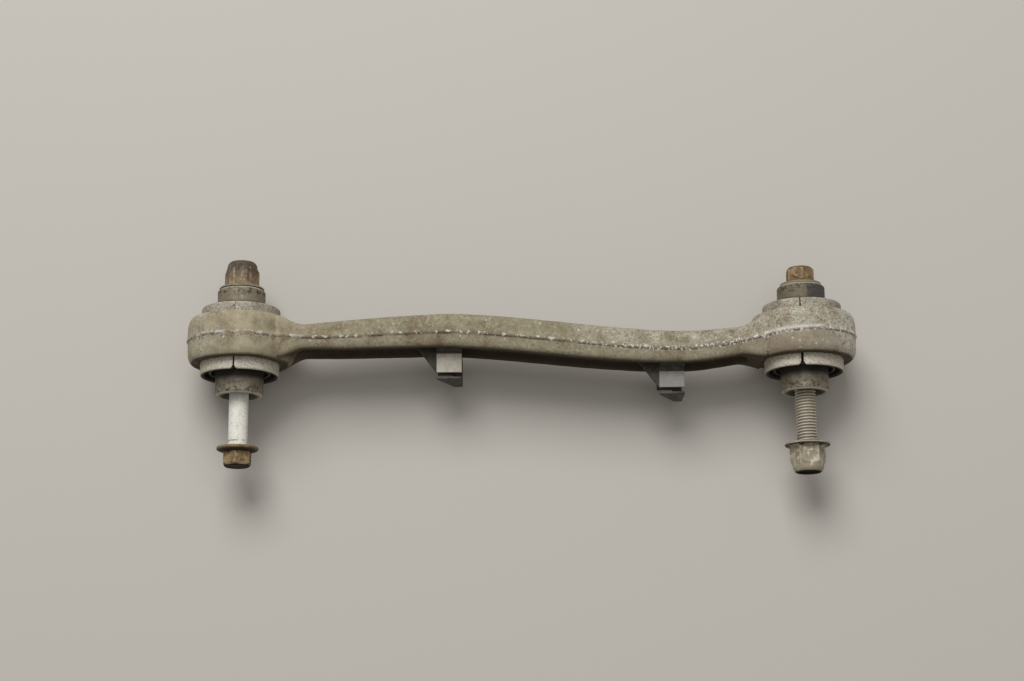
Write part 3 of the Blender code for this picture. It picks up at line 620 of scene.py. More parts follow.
store(arm, "salt", np.maximum(salty_beam, ramp(z, -6, 2) * salty_eye))
check_size(arm)

# %% [markdown]
# ### The arm's surface
# Forged aluminium leaves the die with a fine grain. Years under a car cover it with road dust, which is khaki
# and dull, leave wet brown dirt in the pockets and let white oxide bloom where the salt sits longest, here
# near the right eye. The pockets and the near sides are also painted dark as painted shade. The flash along
# the parting line is knocked bright in small chips, with a dark line painted beside it. The real grain is
# about 0.1 mm and would vanish in the picture, so the specks are drawn about 1 mm wide.

# %% Material of the arm
forged, tree, shader, place = new_material("forged_aluminium_dusty", 0.78, 0.12, Specular_IOR_Level=0.2)
colour = weather(tree, place, "#9a917b", (
    ("#82775f", 1.0, 26, 0.40, 0.60, 4, 0), ("#8e8970", 1.0, 9, 0.45, 0.66, 4, 1),
    ("#735f4a", 0.8, 13, 0.52, 0.70, 4, 2), ("#5f563f", 0.45, 2.0, 0.50, 0.68, 4, 10),
    ("#b3ac97", 0.55, 2.4, 0.52, 0.70, 4, 0), ("#544a36", 0.5, 1.2, 0.60, 0.66, 2, 11),
))
along = add(tree, "ShaderNodeSeparateXYZ", inputs=[place]).outputs[0]
left_eye, right_eye = between(tree, along, -0.118, -0.138), between(tree, along, 0.120, 0.140)
pinkish = times(tree, right_eye, patches(tree, place, 8, 0.36, 0.56, seed=18.0), 0.75)
colour = paint(tree, colour, "#938373", pinkish)
sandy = times(tree, left_eye, patches(tree, place, 9, 0.28, 0.62, seed=14.0), 0.65)
colour = paint(tree, colour, "#b8ac92", sandy)
print("bare metal:", len(tree.nodes), "nodes")

# %% [markdown]
# Road salt turns aluminium white where salt water stays longest, here on top of the right half and
# on the right eye. The oxide grows in spots, so noise breaks the stored masks up.

# %% White oxide on the arm
salt = stored(tree, "salt")
bloom = times(tree, salt, patches(tree, place, 8, 0.36, 0.56, seed=3.0))
colour = paint(tree, colour, "#a9a492", times(tree, bloom, 0.8))
frost = stored(tree, "frost", patches(tree, place, 3, 0.30, 0.55, 3.0, seed=20.0), 0.75)
colour = paint(tree, colour, "#dcd6ca", frost)
crumbs = patches(tree, place, 1.1, 0.50, 0.57, 2.0, seed=4.0)
crumbs = times(tree, bloom, crumbs, patches(tree, place, 4.5, 0.36, 0.56, seed=13.0))
colour = paint(tree, colour, "#cbc7b8", times(tree, crumbs, 0.75))
pits = times(tree, salt, patches(tree, place, 1.3, 0.55, 0.61, 2.0, seed=12.0))
colour = paint(tree, colour, "#665e4a", times(tree, pits, 0.65))
print("with oxide:", len(tree.nodes), "nodes")

# %% [markdown]
# The flash has been knocked since it was trimmed, so bare metal shows in small chips, and a dark line is
# painted in the corner beside it. Each mask is a distance from the parting line, broken up by noise.

# %% Flash along the parting line
known = work_out(tree, {"parting": stored(tree, "parting")}, (
    ("away", "ABSOLUTE", "parting"),
    ("past groove", "ADD", "parting", 0.95), ("from groove", "ABSOLUTE", "past groove"),
    ("past edge", "ADD", "parting", 1.9), ("from edge", "ABSOLUTE", "past edge"),
))
near_flash = between(tree, known["away"], 1.3, 0.5)
chips = times(tree, near_flash, patches(tree, place, 2.2, 0.61, 0.65, 1.0, seed=5.0))
salty = times(tree, between(tree, along, 0.025, 0.055), between(tree, known["away"], 2.2, 1.0))
more_chips = times(tree, salty, patches(tree, place, 1.5, 0.57, 0.62, 1.0, seed=19.0))
streaks = patches(tree, place, 2.6, 0.55, 0.60, 3.0, (0.4, 1, 1), seed=15.0)
streaks = times(tree, near_flash, left_eye, streaks)
mould = times(tree, between(tree, known["from edge"], 1.7, 0.8), left_eye)
mould = times(tree, mould, patches(tree, place, 1.5, 0.50, 0.58, 2.0, seed=16.0), 0.6)
# A dark line is painted in the corner beside the flash.
groove = patches(tree, place, 11, 0.40, 0.52, seed=6.0)
groove = times(tree, between(tree, known["from groove"], 0.62, 0.15), groove, 0.8)
pale_line = stored(tree, "pale_line", patches(tree, place, 5, 0.26, 0.50, seed=17.0))
for over, mask in (
    ("#5d5b49", mould), ("#41382a", groove), ("#d3cdc6", chips), ("#d3cdc6", more_chips),
    ("#c2bac0", streaks), ("#cbc2bb", pale_line),
):
    colour = paint(tree, colour, over, mask)
print("with flash:", len(tree.nodes), "nodes")

# %% [markdown]
# The pockets and the steep sides are painted dark. Partly this is dirt, which nothing rubs off there and
# which dries to a crust. Partly it is painted shade, where the upper flange and the arm's own sides keep the
# lamps' light off. It is laid last, because it covers metal and oxide alike, and it is duller than both.

# %% Dirt and painted shade on the arm
colour = paint(tree, colour, "#c4bfb0", times(tree, grains(tree, place, 1.1, 0.02, 7.0), 0.9))
# Painted shade and dirt: the steep sides are darkened, above all the near side and its low front edge.
flank = stored(tree, "flank")
colour = paint(tree, colour, "#43392b", times(tree, flank, 0.95))
# Painted shade and dirt: the pockets are darkened nearly to black.
colour = paint(tree, colour, "#1b1610", stored(tree, "pocket", 0.96))
crust_in_dirt = times(tree, flank, patches(tree, place, 4, 0.55, 0.72, seed=8.0), 0.4)
colour = paint(tree, colour, "#5a503e", crust_in_dirt)
tree.links.new(colour, shader.inputs["Base Color"])
roughen(tree, shader, 0.62, 0.9, patches(tree, place, 6, 0.35, 0.65, seed=9.0))
emboss(tree, shader, place, [(0.9, 0.10, 3.0), (4.5, 0.25, 4.0), (2.0, 0.10, 2.0)])
use(arm, forged)
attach(arm, "arm")
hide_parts("arm")

# %% [markdown]
# ## Collars
# The outer sleeve of each bush is rolled from strip, so it is a ring with a slit. The strip's
# corners were cut off before it was rolled, which leaves a small V at each end of the slit. The
# ring is skinned from one side of the slit round to the other, and the V simply moves the first
# and last profiles apart near the ends.

# %% Collars
SLIT_TURNS = {"left": 1.0, "right": 10.5}
SLIT_HALVES = {"left": (0.12, 0.5), "right": (0.35, 0.8)}
NOTCH_REAR, NOTCH_FRONT = 0.3, 1.55


def ring_profile(bore, radius, length, chamfer, edge):
    """A tube's section: its chamfered corners are softened by an edge radius in mm."""
    top = length / 2
    upper = [(bore, top - chamfer), (bore + chamfer, top), (radius - chamfer, top), (radius, top - chamfer)]
    corners = np.array(upper + [(r, -h) for r, h in reversed(upper)])
    return soften(corners, [edge] * len(corners))


def with_rows(profile, spacing):
    """Cut a closed profile's long straight runs into shorter ones."""
    rows = []
    for here, there in zip(profile, np.roll(profile, -1, 0)):
        count = max(1, round(float(np.linalg.norm(there - here)) / spacing))
        rows += [here + (there - here) * k / count for k in range(count)]
    return np.array(rows)


def make_collar(side):
    profile = with_rows(ring_profile(COLLAR_BORE, COLLAR_RADIUS, COLLAR_LENGTH, 0.7, 0.35), 1.0)
    height = profile[:, 1]
    notch = np.where(height > 0, NOTCH_FRONT, NOTCH_REAR)
    half = np.interp(height, (-COLLAR_LENGTH / 2, COLLAR_LENGTH / 2), SLIT_HALVES[side])
    spread = half + np.maximum(notch - (COLLAR_LENGTH / 2 - abs(height)), 0)
    start = spread / COLLAR_RADIUS
    shares = (1 - np.cos(np.linspace(0, math.pi, 150))) / 2
    slit = math.pi / 2 + math.radians(SLIT_TURNS[side])
    angles = slit + start[None] + shares[:, None] * (2 * math.pi - 2 * start[None])
    points = spin(np.broadcast_to(profile, (len(shares), *profile.shape)), angles)
    return skin(side + "_collar", points, around=False, place=bush_frame(side))


# %% [markdown]
# ## Rubber, rings and inner sleeves
# Inside the collar, two layers of black rubber hold a thin steel ring between them, and the inner
# sleeve stands in the middle. The sleeve is a thick tube, countersunk at both ends, with a fine
# groove turned into it near each end. All of these are plain turned rings.

# %% Turned rings of the bushes
def rubber_profile(bore, radius):
    top, dish = COLLAR_LENGTH / 2 - 3.2, 0.9
    upper = [(bore, top), (bore + 0.5, top - 0.75 * dish), ((bore + radius) / 2, top - dish)]
    upper += [(radius - 0.5, top - 0.75 * dish), (radius, top)]
    corners = np.array(upper + [(r, -h) for r, h in reversed(upper)])
    return soften(corners, [0.1, 0.25, 0.25, 0.25, 0.1] * 2)


def sleeve_profile():
    top, groove = SLEEVE_LENGTH / 2, 3.6
    upper = [
        (SLEEVE_BORE, top - 2.6), (10.0, top), (SLEEVE_RADIUS - 1.0, top), (SLEEVE_RADIUS, top - 1.0),
        (SLEEVE_RADIUS, top - groove + 0.3), (SLEEVE_RADIUS - 0.12, top - groove),
        (SLEEVE_RADIUS, top - groove - 0.3),
    ]
    corners = np.array(upper + [(r, -h) for r, h in reversed(upper)])
    return soften(corners, [0.2, 0.3, 0.35, 0.35, 0.05, 0.05, 0.05, 0.05, 0.05, 0.05, 0.35, 0.35, 0.3, 0.2])


def make_turned(name, side, profile):
    return skin(side + name, spin(profile, FULL_TURN), place=bush_frame(side))


RINGS = {
    "_rubber_inside_ring": ("_inner_rubber", rubber_profile(14.15, 16.15), "_ring"),
    "_steel_ring": ("_intermediate_ring", ring_profile(16.45, 17.75, 36.8, 0.3, 0.12), "_ring"),
    "_rubber_outside_ring": ("_outer_rubber", rubber_profile(18.05, 19.95), "arm"),
    "_sleeve": ("_inner_sleeve", sleeve_profile(), "_core"),
}
bush_pieces = {}
for side in SIDES:
    bush_pieces[side + "_collar"] = (make_collar(side), side + "_outer_sleeve", "arm")
    for name, (node, profile, body) in RINGS.items():
        rides_on = body if body == "arm" else side + body
        bush_pieces[side + name] = (make_turned(name, side, profile), side + node, rides_on)
for piece, node, body in bush_pieces.values():
    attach(check_size(piece), body)
    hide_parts(node)

# %% [markdown]
# ### Steels and rubber of the bush
# The collars are rolled mild steel, dull and pale with dust; their fronts are painted lighter as painted
# light, and their bores and ends are painted dark as painted shade with dirt. The inner sleeves are darker,
# because they were phosphated, and rust starts at their ends; where they stand in the collars' hollows they
# are painted dark, for dirt and as painted shade, and their rims are painted light, for wear and as painted
# light on the shaded end faces. Rubber is black, matt and dusty on top. The marks of rolling and turning are
# finer than a pixel, so they are drawn 0.6 to 0.9 mm coarse.

# %% Materials of the bushes
collar_steel, tree, shader, place = new_material("rolled_mild_steel", 0.66, 0.2)
colour = weather(tree, place, "#a8a190", (
    ("#8b8373", 1.0, 11, 0.42, 0.64, 4, 0), ("#8b8587", 0.6, 6, 0.55, 0.70, 4, 4),
    ("#bcb6a6", 0.7, 2.6, 0.52, 0.70, 4, 1), ("#5f5442", 0.8, 3.2, 0.60, 0.72, 4, 2),
))
# Painted light: the front of each collar is painted lighter, to make up for the shade that the eye casts on
# it from the lamps behind.
front = add(tree, "ShaderNodeSeparateXYZ", inputs=[place]).outputs[1]
front = times(tree, between(tree, front, 0.008, 0.004), 0.8)
colour = weather(tree, place, paint(tree, colour, "#d4ccbb", front), (
    ("#6f6757", 0.5, 1.2, 0.52, 0.60, 2, 6), ("#dcd6c8", 0.5, 1.1, 0.56, 0.62, 2, 7),
))
# Painted shade with dirt: the collar's bore and end faces are darkened nearly to black.
colour = paint(tree, colour, "#211c16", stored(tree, "grime", 0.95))
tree.links.new(colour, shader.inputs["Base Color"])
roughen(tree, shader, 0.55, 0.85, patches(tree, place, 4, 0.35, 0.65, seed=3.0))
emboss(tree, shader, place, [(0.7, 0.05, 2.0), (3.0, 0.06, 3.0)])

strip_steel, tree, shader, place = new_material("greasy_strip_steel", 0.6, 0.3)
colour = paint(tree, "#5a5245", "#2c2720", patches(tree, place, 4, 0.40, 0.62))
tree.links.new(colour, shader.inputs["Base Color"])
roughen(tree, shader, 0.45, 0.8, patches(tree, place, 3, 0.35, 0.65, seed=3.0))
emboss(tree, shader, place, [(0.9, 0.05, 2.0)])


def sleeve_material(name, rear, rear_right):
    """Phosphated steel, darkened at its root for dirt and as painted shade; the rear end is stained in two
    colours.
    """
    material, tree, shader, place = new_material(name, 0.62, 0.25)
    colour = weather(tree, place, "#8a8270", (
        ("#6b6353", 1.0, 8, 0.40, 0.62, 4, 0), ("#8f8878", 0.7, 2.4, 0.54, 0.70, 4, 1),
    ))
    parts = add(tree, "ShaderNodeSeparateXYZ", inputs=[place]).outputs
    ragged = patches(tree, place, 2.5, 0.3, 0.7, seed=9.0)
    known = work_out(tree, {"x": parts[0], "y": parts[1]}, (
        ("aside", "SUBTRACT", "x", AXES["right"].x * MM), ("stain", "MULTIPLY_ADD", ragged, 0.003, "aside"),
        ("along", "SUBTRACT", "y", AXES["left"].y * MM), ("outward", "ABSOLUTE", "along"),
    ))
    stains = paint(tree, rear, rear_right, between(tree, known["stain"], 0.0025, 0.0035))
    at_rear = times(tree, between(tree, known["along"], 0.012, 0.018), 0.8)
    colour = paint(tree, colour, stains, at_rear)
    outward = known["outward"]
    # Painted shade and dirt: the sleeve is darkened where it stands inside the collar's hollow, and in its
    # bore and countersinks.
    root = between(tree, outward, 0.0236, 0.0212)
    near_end = between(tree, outward, 0.0245, 0.0285)
    spots = times(tree, near_end, patches(tree, place, 2.4, 0.51, 0.58, seed=2.0), 0.85)
    # Painted light and wear: the rim at each end and the end face are painted light, the end face though it
    # lies in shade.
    rim = times(tree, between(tree, outward, 0.0306, 0.0310), 0.8)
    rim = times(tree, rim, patches(tree, place, 5, 0.30, 0.45, seed=6.0))
    for over, mask in (
        ("#3c2f22", spots), ("#c6bfae", rim), ("#241f18", times(tree, root, 0.92)),
        ("#1d1914", stored(tree, "grime", 0.9)),
    ):
        colour = paint(tree, colour, over, mask)
    tree.links.new(colour, shader.inputs["Base Color"])
    roughen(tree, shader, 0.5, 0.8, patches(tree, place, 3, 0.35, 0.65, seed=3.0))
    emboss(tree, shader, place, [(0.6, 0.04, 2.0), (2.4, 0.08, 3.0)])
    return material


SLEEVE_STEEL = {
    "left": sleeve_material("phosphated_steel", "#857b66", "#857b66"),
    "right": sleeve_material("oiled_phosphated_steel", "#6d6651", "#403e42"),
}

rubber, tree, shader, place = new_material("natural_rubber", 0.85, 0.0)
colour = paint(tree, "#191714", "#332e26", patches(tree, place, 3, 0.48, 0.72))
tree.links.new(colour, shader.inputs["Base Color"])
emboss(tree, shader, place, [(1.2, 0.06, 3.0)])

FINISHES = {
    "_collar": (collar_steel, "collar_steel", COLLAR_RADIUS - 0.5),
    "_steel_ring": (strip_steel, "collar_steel", 0.0),
    "_sleeve": (None, "sleeve_steel", 10.6),
    "_rubber_inside_ring": (rubber, "bush_rubber", 0.0),
    "_rubber_outside_ring": (rubber, "bush_rubber", 0.0),
}
for name, (piece, _, _) in bush_pieces.items():
    side, kind = name.split("_", 1)
    finish, slot, shade_and_grime_within = FINISHES["_" + kind]
    x, y, z = points_of(piece, AXES[side])
    # Points inside that radius are stored to be darkened, as painted shade with dirt.
    store(piece, "grime", np.hypot(x, z) < shade_and_grime_within)
    use(piece, finish or SLEEVE_STEEL[side])

# %% [markdown]
# ## Bolts
# Each bolt is M12, 110 mm long, with a hexagon head. Its blank is skinned as one fan of profiles,
# from the middle of the head to the middle of the end. The hexagon's radius comes from a formula
# whose corners are slightly round, as those of a forged head are.

# %% Bolt blanks
def hexagon(angles, flats):
    """The radius of a hexagon with a corner on Y and slightly rounded corners."""
    sharpness = 110
    directions = np.arange(6) * math.pi / 3
    reach = np.maximum(np.cos(angles[:, None] - directions[None]), 0) ** sharpness
    return flats / 2 / reach.sum(-1) ** (1 / sharpness)


SECTOR = np.array([0, 5, 10, 15, 20, 24, 27, 28.6, 29.6])
HALF_SECTOR = np.concatenate([-SECTOR[:0:-1], SECTOR])
HEX_TURN = np.radians(np.concatenate([HALF_SECTOR + 60 * k for k in range(6)]))
HEX_TURN = np.mod(HEX_TURN, 2 * math.pi)
HEX_TURN.sort()


def stack(columns, *points):
    """One profile for each angle; a point's radius or height may differ from angle to angle."""
    return np.stack([np.stack(np.broadcast_arrays(r, h, np.zeros(columns))[:2], -1) for r, h in points], 1)


def make_bolt_blank(side):
    corner = hexagon(HEX_TURN, HEAD_FLATS)
    flat = HEAD_FLATS / 2 - 0.7
    head = stack(
        len(HEX_TURN), (0.0, -HEAD_HEIGHT + 0.4), (flat - 1.2, -HEAD_HEIGHT + 0.4),
        (flat - 0.8, -HEAD_HEIGHT), (flat, -HEAD_HEIGHT), (corner, -HEAD_HEIGHT + corner - flat),
        (corner, 0.0), (SHANK_RADIUS + 0.5, 0.0), (SHANK_RADIUS, 0.5),
    )
    head = soften(head, [0, 0.2, 0.2, 0.3, 0.35, 0.3, 0.2, 0.2])
    thread = BOLT_LENGTH - THREAD_LENGTH
    soot_rows = [(SHANK_RADIUS, h) for h in np.arange(5.0, 8.0, 0.3)]
    plain = stack(len(HEX_TURN), *soot_rows, (SHANK_RADIUS, thread - 1.0))
    heights = np.arange(thread, BOLT_LENGTH - 1.2, PITCH / 12)
    threaded = stack(len(HEX_TURN), *[(BOLT_RADIUS, h) for h in heights])
    end = [(BOLT_RADIUS, BOLT_LENGTH - 1.2), (BOLT_RADIUS - 1.2, BOLT_LENGTH), (0.0, BOLT_LENGTH)]
    end = stack(len(HEX_TURN), *end)
    points = spin(np.concatenate([head, plain, threaded, end], 1), HEX_TURN)
    return skin(side + "_hex_bolt", points, across=False)


blanks = {side: check_size(make_bolt_blank(side)) for side in SIDES}

# %% [markdown]
# ### Cutting the threads
# A thread is a groove that climbs by one pitch a turn, which is a rule and not a shape. Geometry
# Nodes can say it directly: for each point of the blank, work out how far along the thread's wave it
# lies from its height and its angle, and pull it towards the axis by that much. The pitch, the
# depth and the ends of the thread are inputs, so the same tree cuts any metric thread.

# %% Thread-cutting tree
def new_tree(name, inputs):
    tree = bpy.data.node_groups.new(name, "GeometryNodeTree")
    tree.interface.new_socket("Geometry", in_out="INPUT", socket_type="NodeSocketGeometry")
    for label, kind in inputs:
        tree.interface.new_socket(label, in_out="INPUT", socket_type=kind)
    tree.interface.new_socket("Geometry", in_out="OUTPUT", socket_type="NodeSocketGeometry")
    return tree, tree.nodes.new("NodeGroupInput").outputs, tree.nodes.new("NodeGroupOutput").inputs


def run_tree(piece, tree, values):
    """Apply a tree to a piece and keep the result as its plain mesh."""
    modifier = piece.modifiers.new(tree.name, "NODES")
    modifier.node_group = tree
    for item in tree.interface.items_tree:
        if item.in_out == "INPUT" and item.name in values:
            modifier[item.identifier] = values[item.name]
    graph = bpy.context.evaluated_depsgraph_get()
    mesh = bpy.data.meshes.new_from_object(piece.evaluated_get(graph))
    piece.modifiers.remove(modifier)
    mesh.name = piece.name
    piece.data = mesh
    return piece


SIZES = [(label, "NodeSocketFloat") for label in ("Pitch", "Depth", "Start", "End")]
thread_tree, given, result = new_tree("cut_thread", SIZES + [("Material", "NodeSocketMaterial")])
point = add(thread_tree, "GeometryNodeInputPosition").outputs[0]
parts = add(thread_tree, "ShaderNodeSeparateXYZ", inputs=[point]).outputs
known = dict(zip("xyz", parts)) | {label: given[label] for label, _ in SIZES}
known = work_out(thread_tree, known, (
    ("angle", "ARCTAN2", "y", "x"), ("turns", "DIVIDE", "angle", 2 * math.pi),
    ("climb", "DIVIDE", "z", "Pitch"), ("ahead", "SUBTRACT", "climb", "turns"),
    ("phase", "FRACT", "ahead"), ("slant", "MULTIPLY_ADD", "phase", 2.0, -1.0),
    ("wave", "ABSOLUTE", "slant"), ("full depth", "ADD", "Start", "Pitch"),
    ("beyond", "GREATER_THAN", "z", "Start"), ("before end", "LESS_THAN", "z", "End"),
    ("cut here", "MULTIPLY", "beyond", "before end"),
))
sides = {"Value": known["wave"], "From Min": 0.125, "From Max": 0.85}
sides = add(thread_tree, "ShaderNodeMapRange", inputs=sides).outputs[0]
run_in = {"Value": known["z"], "From Min": given["Start"], "From Max": known["full depth"]}
run_in = add(thread_tree, "ShaderNodeMapRange", inputs=run_in).outputs[0]
known = work_out(thread_tree, known, (
    ("groove", "MULTIPLY", sides, run_in), ("deep", "MULTIPLY", "groove", "Depth"),
    ("inward", "MULTIPLY", "deep", -1.0),
))
flat = add(thread_tree, "ShaderNodeVectorMath", {"operation": "MULTIPLY"}, [point, (1.0, 1.0, 0.0)])
outward = add(thread_tree, "ShaderNodeVectorMath", {"operation": "NORMALIZE"}, [flat.outputs[0]])
shift = {0: outward.outputs[0], "Scale": known["inward"]}
shift = add(thread_tree, "ShaderNodeVectorMath", {"operation": "SCALE"}, shift).outputs[0]
cut = {"Geometry": given["Geometry"], "Offset": shift, "Selection": known["cut here"]}
shape = add(thread_tree, "GeometryNodeSetPosition", inputs=cut).outputs[0]
shape = add(thread_tree, "GeometryNodeRealizeInstances", inputs=[shape]).outputs[0]
shape = add(thread_tree, "GeometryNodeSetMaterial", inputs={"Geometry": shape, "Material": given["Material"]})
thread_tree.links.new(shape.outputs[0], result[0])

# %% [markdown]
# ### Finishes of the bolts
# The left bolt's plain shank sat inside the sleeve, where its zinc plating stayed bright, but its
# head is brown with rust. The right bolt shows its thread, whose zinc has yellowed and whose crests
# are rubbed. One material with the finishes laid along the bolt's length would hide the reason for
# each, so head and shank are told apart by where they lie on the bush axis.

# %% Materials of the fasteners
def rust_layers(tree, place, colour):
    """Brown surface rust in three shades, from a thin film to dark scabs."""
    return weather(tree, place, colour, (
        ("#80684b", 1.0, 4.5, 0.40, 0.58, 4, 1), ("#775a42", 0.8, 5.5, 0.50, 0.64, 4, 8),
        ("#5c4730", 1.0, 2.4, 0.52, 0.66, 4, 2), ("#3a2e20", 1.0, 1.8, 0.60, 0.70, 4, 3),
    ))


def edge_wear(tree, place, colour, worn):
    """Rub the corners, which are stored with the mesh, down to a lighter colour."""
    rubbed = stored(tree, "corner", patches(tree, place, 2.2, 0.36, 0.56, seed=20.0), 0.7)
    return paint(tree, colour, worn, rubbed)


rusty_steel, tree, shader, place = new_material("rusted_steel", 0.82, 0.1, Specular_IOR_Level=0.3)
colour = rust_layers(tree, place, "#7c6b4d")
colour = weather(tree, place, colour, [("#94865f", 0.8, 1.4, 0.56, 0.70, 4, 4)])
along = add(tree, "ShaderNodeSeparateXYZ", inputs=[place]).outputs[0]
at_right = times(tree, between(tree, along, -0.001, 0.001), 0.75)
colour = paint(tree, colour, "#8d8674", at_right)
# Painted shade: the washer's face towards the head is darkened.
colour = paint(tree, colour, "#2e271d", stored(tree, "grime", 0.9))
colour = edge_wear(tree, place, colour, "#8c7a54")
tree.links.new(colour, shader.inputs["Base Color"])
roughen(tree, shader, 0.7, 0.9, patches(tree, place, 3, 0.35, 0.65, seed=5.0))
emboss(tree, shader, place, [(0.8, 0.12, 3.0), (2.4, 0.16, 3.0)])


def bolt_material(name, clean, stain, crest, metallic, roughness, head_from, head_to):
    """Plated steel whose head end, from one Y to another in metres, has rusted."""
    material, tree, shader, place = new_material(name, roughness, metallic, Specular_IOR_Level=0.3)
    colour = paint(tree, clean, stain, patches(tree, place, 3.5, 0.50, 0.72, 4.0, (1, 0.35, 1)))
    colour = weather(tree, place, colour, [("#a09a8d", 0.5, 1.3, 0.56, 0.68, 2, 5)])
    soot = stored(tree, "soot", patches(tree, place, 3.5, 0.42, 0.52, seed=7.0), 0.8)
    colour = paint(tree, colour, "#5f5e5c", soot)
    colour = paint(tree, colour, crest, stored(tree, "crest", 0.85))
    # The thread's roots are painted darker.
    colour = paint(tree, colour, "#43392a", stored(tree, "root", 0.6))
    along = add(tree, "ShaderNodeSeparateXYZ", inputs=[place]).outputs[1]
    at_head = between(tree, along, head_from, head_to)
    rust = rust_layers(tree, place, "#937f5e")
    rust = weather(tree, place, rust, [("#a18f70", 0.8, 3.0, 0.54, 0.66, 4, 9)])
    rust = edge_wear(tree, place, rust, "#b6a88a")
    # Painted shade: the head's chamfer and end face are darkened.
    rust = paint(tree, rust, "#1f1912", stored(tree, "grime", 0.92))
    tree.links.new(paint(tree, colour, rust, at_head), shader.inputs["Base Color"])
    shine = {"Value": at_head, "To Min": metallic, "To Max": 0.1}
    tree.links.new(add(tree, "ShaderNodeMapRange", inputs=shine).outputs[0], shader.inputs["Metallic"])
    roughen(tree, shader, roughness, 0.85, at_head)
    emboss(tree, shader, place, [(0.8, 0.05, 2.0), (2.4, 0.08, 2.0)])
    return material


def world_y(side, height):
    """Where a height on the bush axis lies along Y, in metres."""
    return (AXES[side].y - height) * MM


BOLT_FINISHES = {
    "left": bolt_material(
        "zinc_plated_steel", "#e9e7dd", "#d3d0c5", "#e9e7dd", 0.05, 0.75,
        world_y("left", HEAD_SEAT["left"] - 0.5), world_y("left", HEAD_SEAT["left"] + 0.2),
    ),
    "right": bolt_material(
        "yellowed_zinc_plated_steel", "#d0c6b2", "#b3a78f", "#e0d9d0", 0.25, 0.5,
        world_y("right", HEAD_SEAT["right"] + 0.5), world_y("right", HEAD_SEAT["right"] - 0.2),
    ),
}

# %% [markdown]
# The blanks are cut, laid on their axes and told where they wear: the thread's roots are painted darker, its
# crests are rubbed bright, the head's corners lose their rust first, and a line of soot marks the shank
# beside the washer. The head's chamfer and end face are painted dark as painted shade.

# %% Cut, place and finish the bolts
def along_bolt(piece, side, seat):
    """Where a fastener's points lie: across the axis, their radius and the height above a seat."""
    x, y, z = points_of(piece, AXES[side])
    height = (-y - seat) * (-1 if NUT_SEAT[side] < HEAD_SEAT[side] else 1)
    return x, y, z, np.hypot(x, z), height


def corner_wear(x, z, turn):
    """1 on the six corners of a hexagon, one of which stands on top when the turn is 0."""
    angle = np.degrees(np.arctan2(z, x)) - 90 - turn
    off = abs((angle + 30) % 60 - 30)
    return np.exp(-((off / 3.0) ** 2))


for side, blank in blanks.items():
    values = {
        "Pitch": PITCH * MM, "Depth": 1.05 * MM, "Start": (BOLT_LENGTH - THREAD_LENGTH - 0.5) * MM,
        "End": (BOLT_LENGTH - 0.01) * MM, "Material": BOLT_FINISHES[side],
    }
    bolt = run_tree(blank, thread_tree, values)
    place_there = seat_frame(side, HEAD_SEAT[side])
    place_there.translation *= MM
    bolt.data.transform(place_there)
    bolt.data.shade_smooth()
    bolt.data.set_sharp_from_angle(angle=math.radians(40))
    x, y, z, radius, height = along_bolt(bolt, side, HEAD_SEAT[side])
    threaded = height > BOLT_LENGTH - THREAD_LENGTH
    store(bolt, "root", ramp(radius, BOLT_RADIUS - 0.25, BOLT_RADIUS - 0.85) * threaded)
    rubbed = 0.25 + 0.75 * ramp(height, 78, 83) * ramp(height, 96, 91)
    crests = ramp(radius, BOLT_RADIUS - 0.25, BOLT_RADIUS - 0.05)
    store(bolt, "crest", crests * threaded * rubbed)
    store(bolt, "corner", corner_wear(x, z, 0.0) * (height < -0.3))
    # The head's chamfer and end face, which face away from the lamps, are stored to be darkened as painted
    # shade.
    chamfer = ramp(radius - height - HEAD_HEIGHT, HEAD_FLATS / 2 - 0.8, HEAD_FLATS / 2 - 0.5)
    store(bolt, "grime", chamfer + (height < -HEAD_HEIGHT + 0.5))
    store(bolt, "soot", np.exp(-(((height - 6.3) / 0.45) ** 2)))
    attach(check_size(bolt), side + "_bolt")
    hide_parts(side + "_bolt")

# %% [markdown]
# ## Washers and lock nuts
# The washer under each head is captive: the thread is thicker than its hole. The lock nut is one
# forging of three forms, a flange that spreads the load, the hexagon, and a crown that is rolled
# over the nylon ring which grips the thread.

# %% Washers, nuts and lock rings
def make_washer(side):
    near, far = 0.3, 0.3 + WASHER_THICKNESS
    corners = np.array([
        (SHANK_RADIUS + 0.3, far), (WASHER_RADIUS, far), (WASHER_RADIUS, near + 1.1),
        (WASHER_RADIUS - 1.6, near + 0.4), (8.6, near), (SHANK_RADIUS + 0.3, near),
    ])
    profile = soften(corners, [0.2, 0.4, 0.4, 0.4, 0.3, 0.2])
    return skin(side + "_flat_washer", spin(profile, FULL_TURN), place=seat_frame(side, HEAD_SEAT[side]))


def make_nut(side):
    corner = hexagon(HEX_TURN, NUT_FLATS)
    hex_top, crown, crown_top = 13.0, 8.9, 8.6
    rise, steep = 1.7 / (NUT_FLANGE - crown), 3.2 / 2.0
    profiles = stack(
        len(HEX_TURN), (7.2, 0.0), (NUT_FLANGE, 0.0), (NUT_FLANGE, 1.1),
        (corner, 1.1 + (NUT_FLANGE - corner) * rise), (corner, hex_top - (corner - crown + 0.2) * steep),
        (crown, hex_top - 0.2 * steep), (crown_top, NUT_HEIGHT - 1.6),
        (crown_top - 1.3, NUT_HEIGHT), (6.6, NUT_HEIGHT), (6.6, 15.8), (7.4, 15.8), (7.4, 12.2), (6.3, 12.2),
        (6.3, 0.9),
    )
    profiles = soften(profiles, [0.2, 0.45, 0.45, 0.5, 0.6, 0.3, 1.2, 0.8, 0.3, 0.1, 0.1, 0.1, 0.1, 0.2])
    place = seat_frame(side, NUT_SEAT[side], NUT_TURNS[side])
    return skin(side + "_flange_nut", spin(profiles, HEX_TURN), place=place)


def make_lock_ring(side):
    profile = soften([(6.3, 15.5), (7.1, 15.5), (7.1, 12.5), (6.3, 12.5)], [0.25, 0.1, 0.1, 0.25])
    return skin(side + "_nylon_ring", spin(profile, FULL_TURN), place=seat_frame(side, NUT_SEAT[side]))


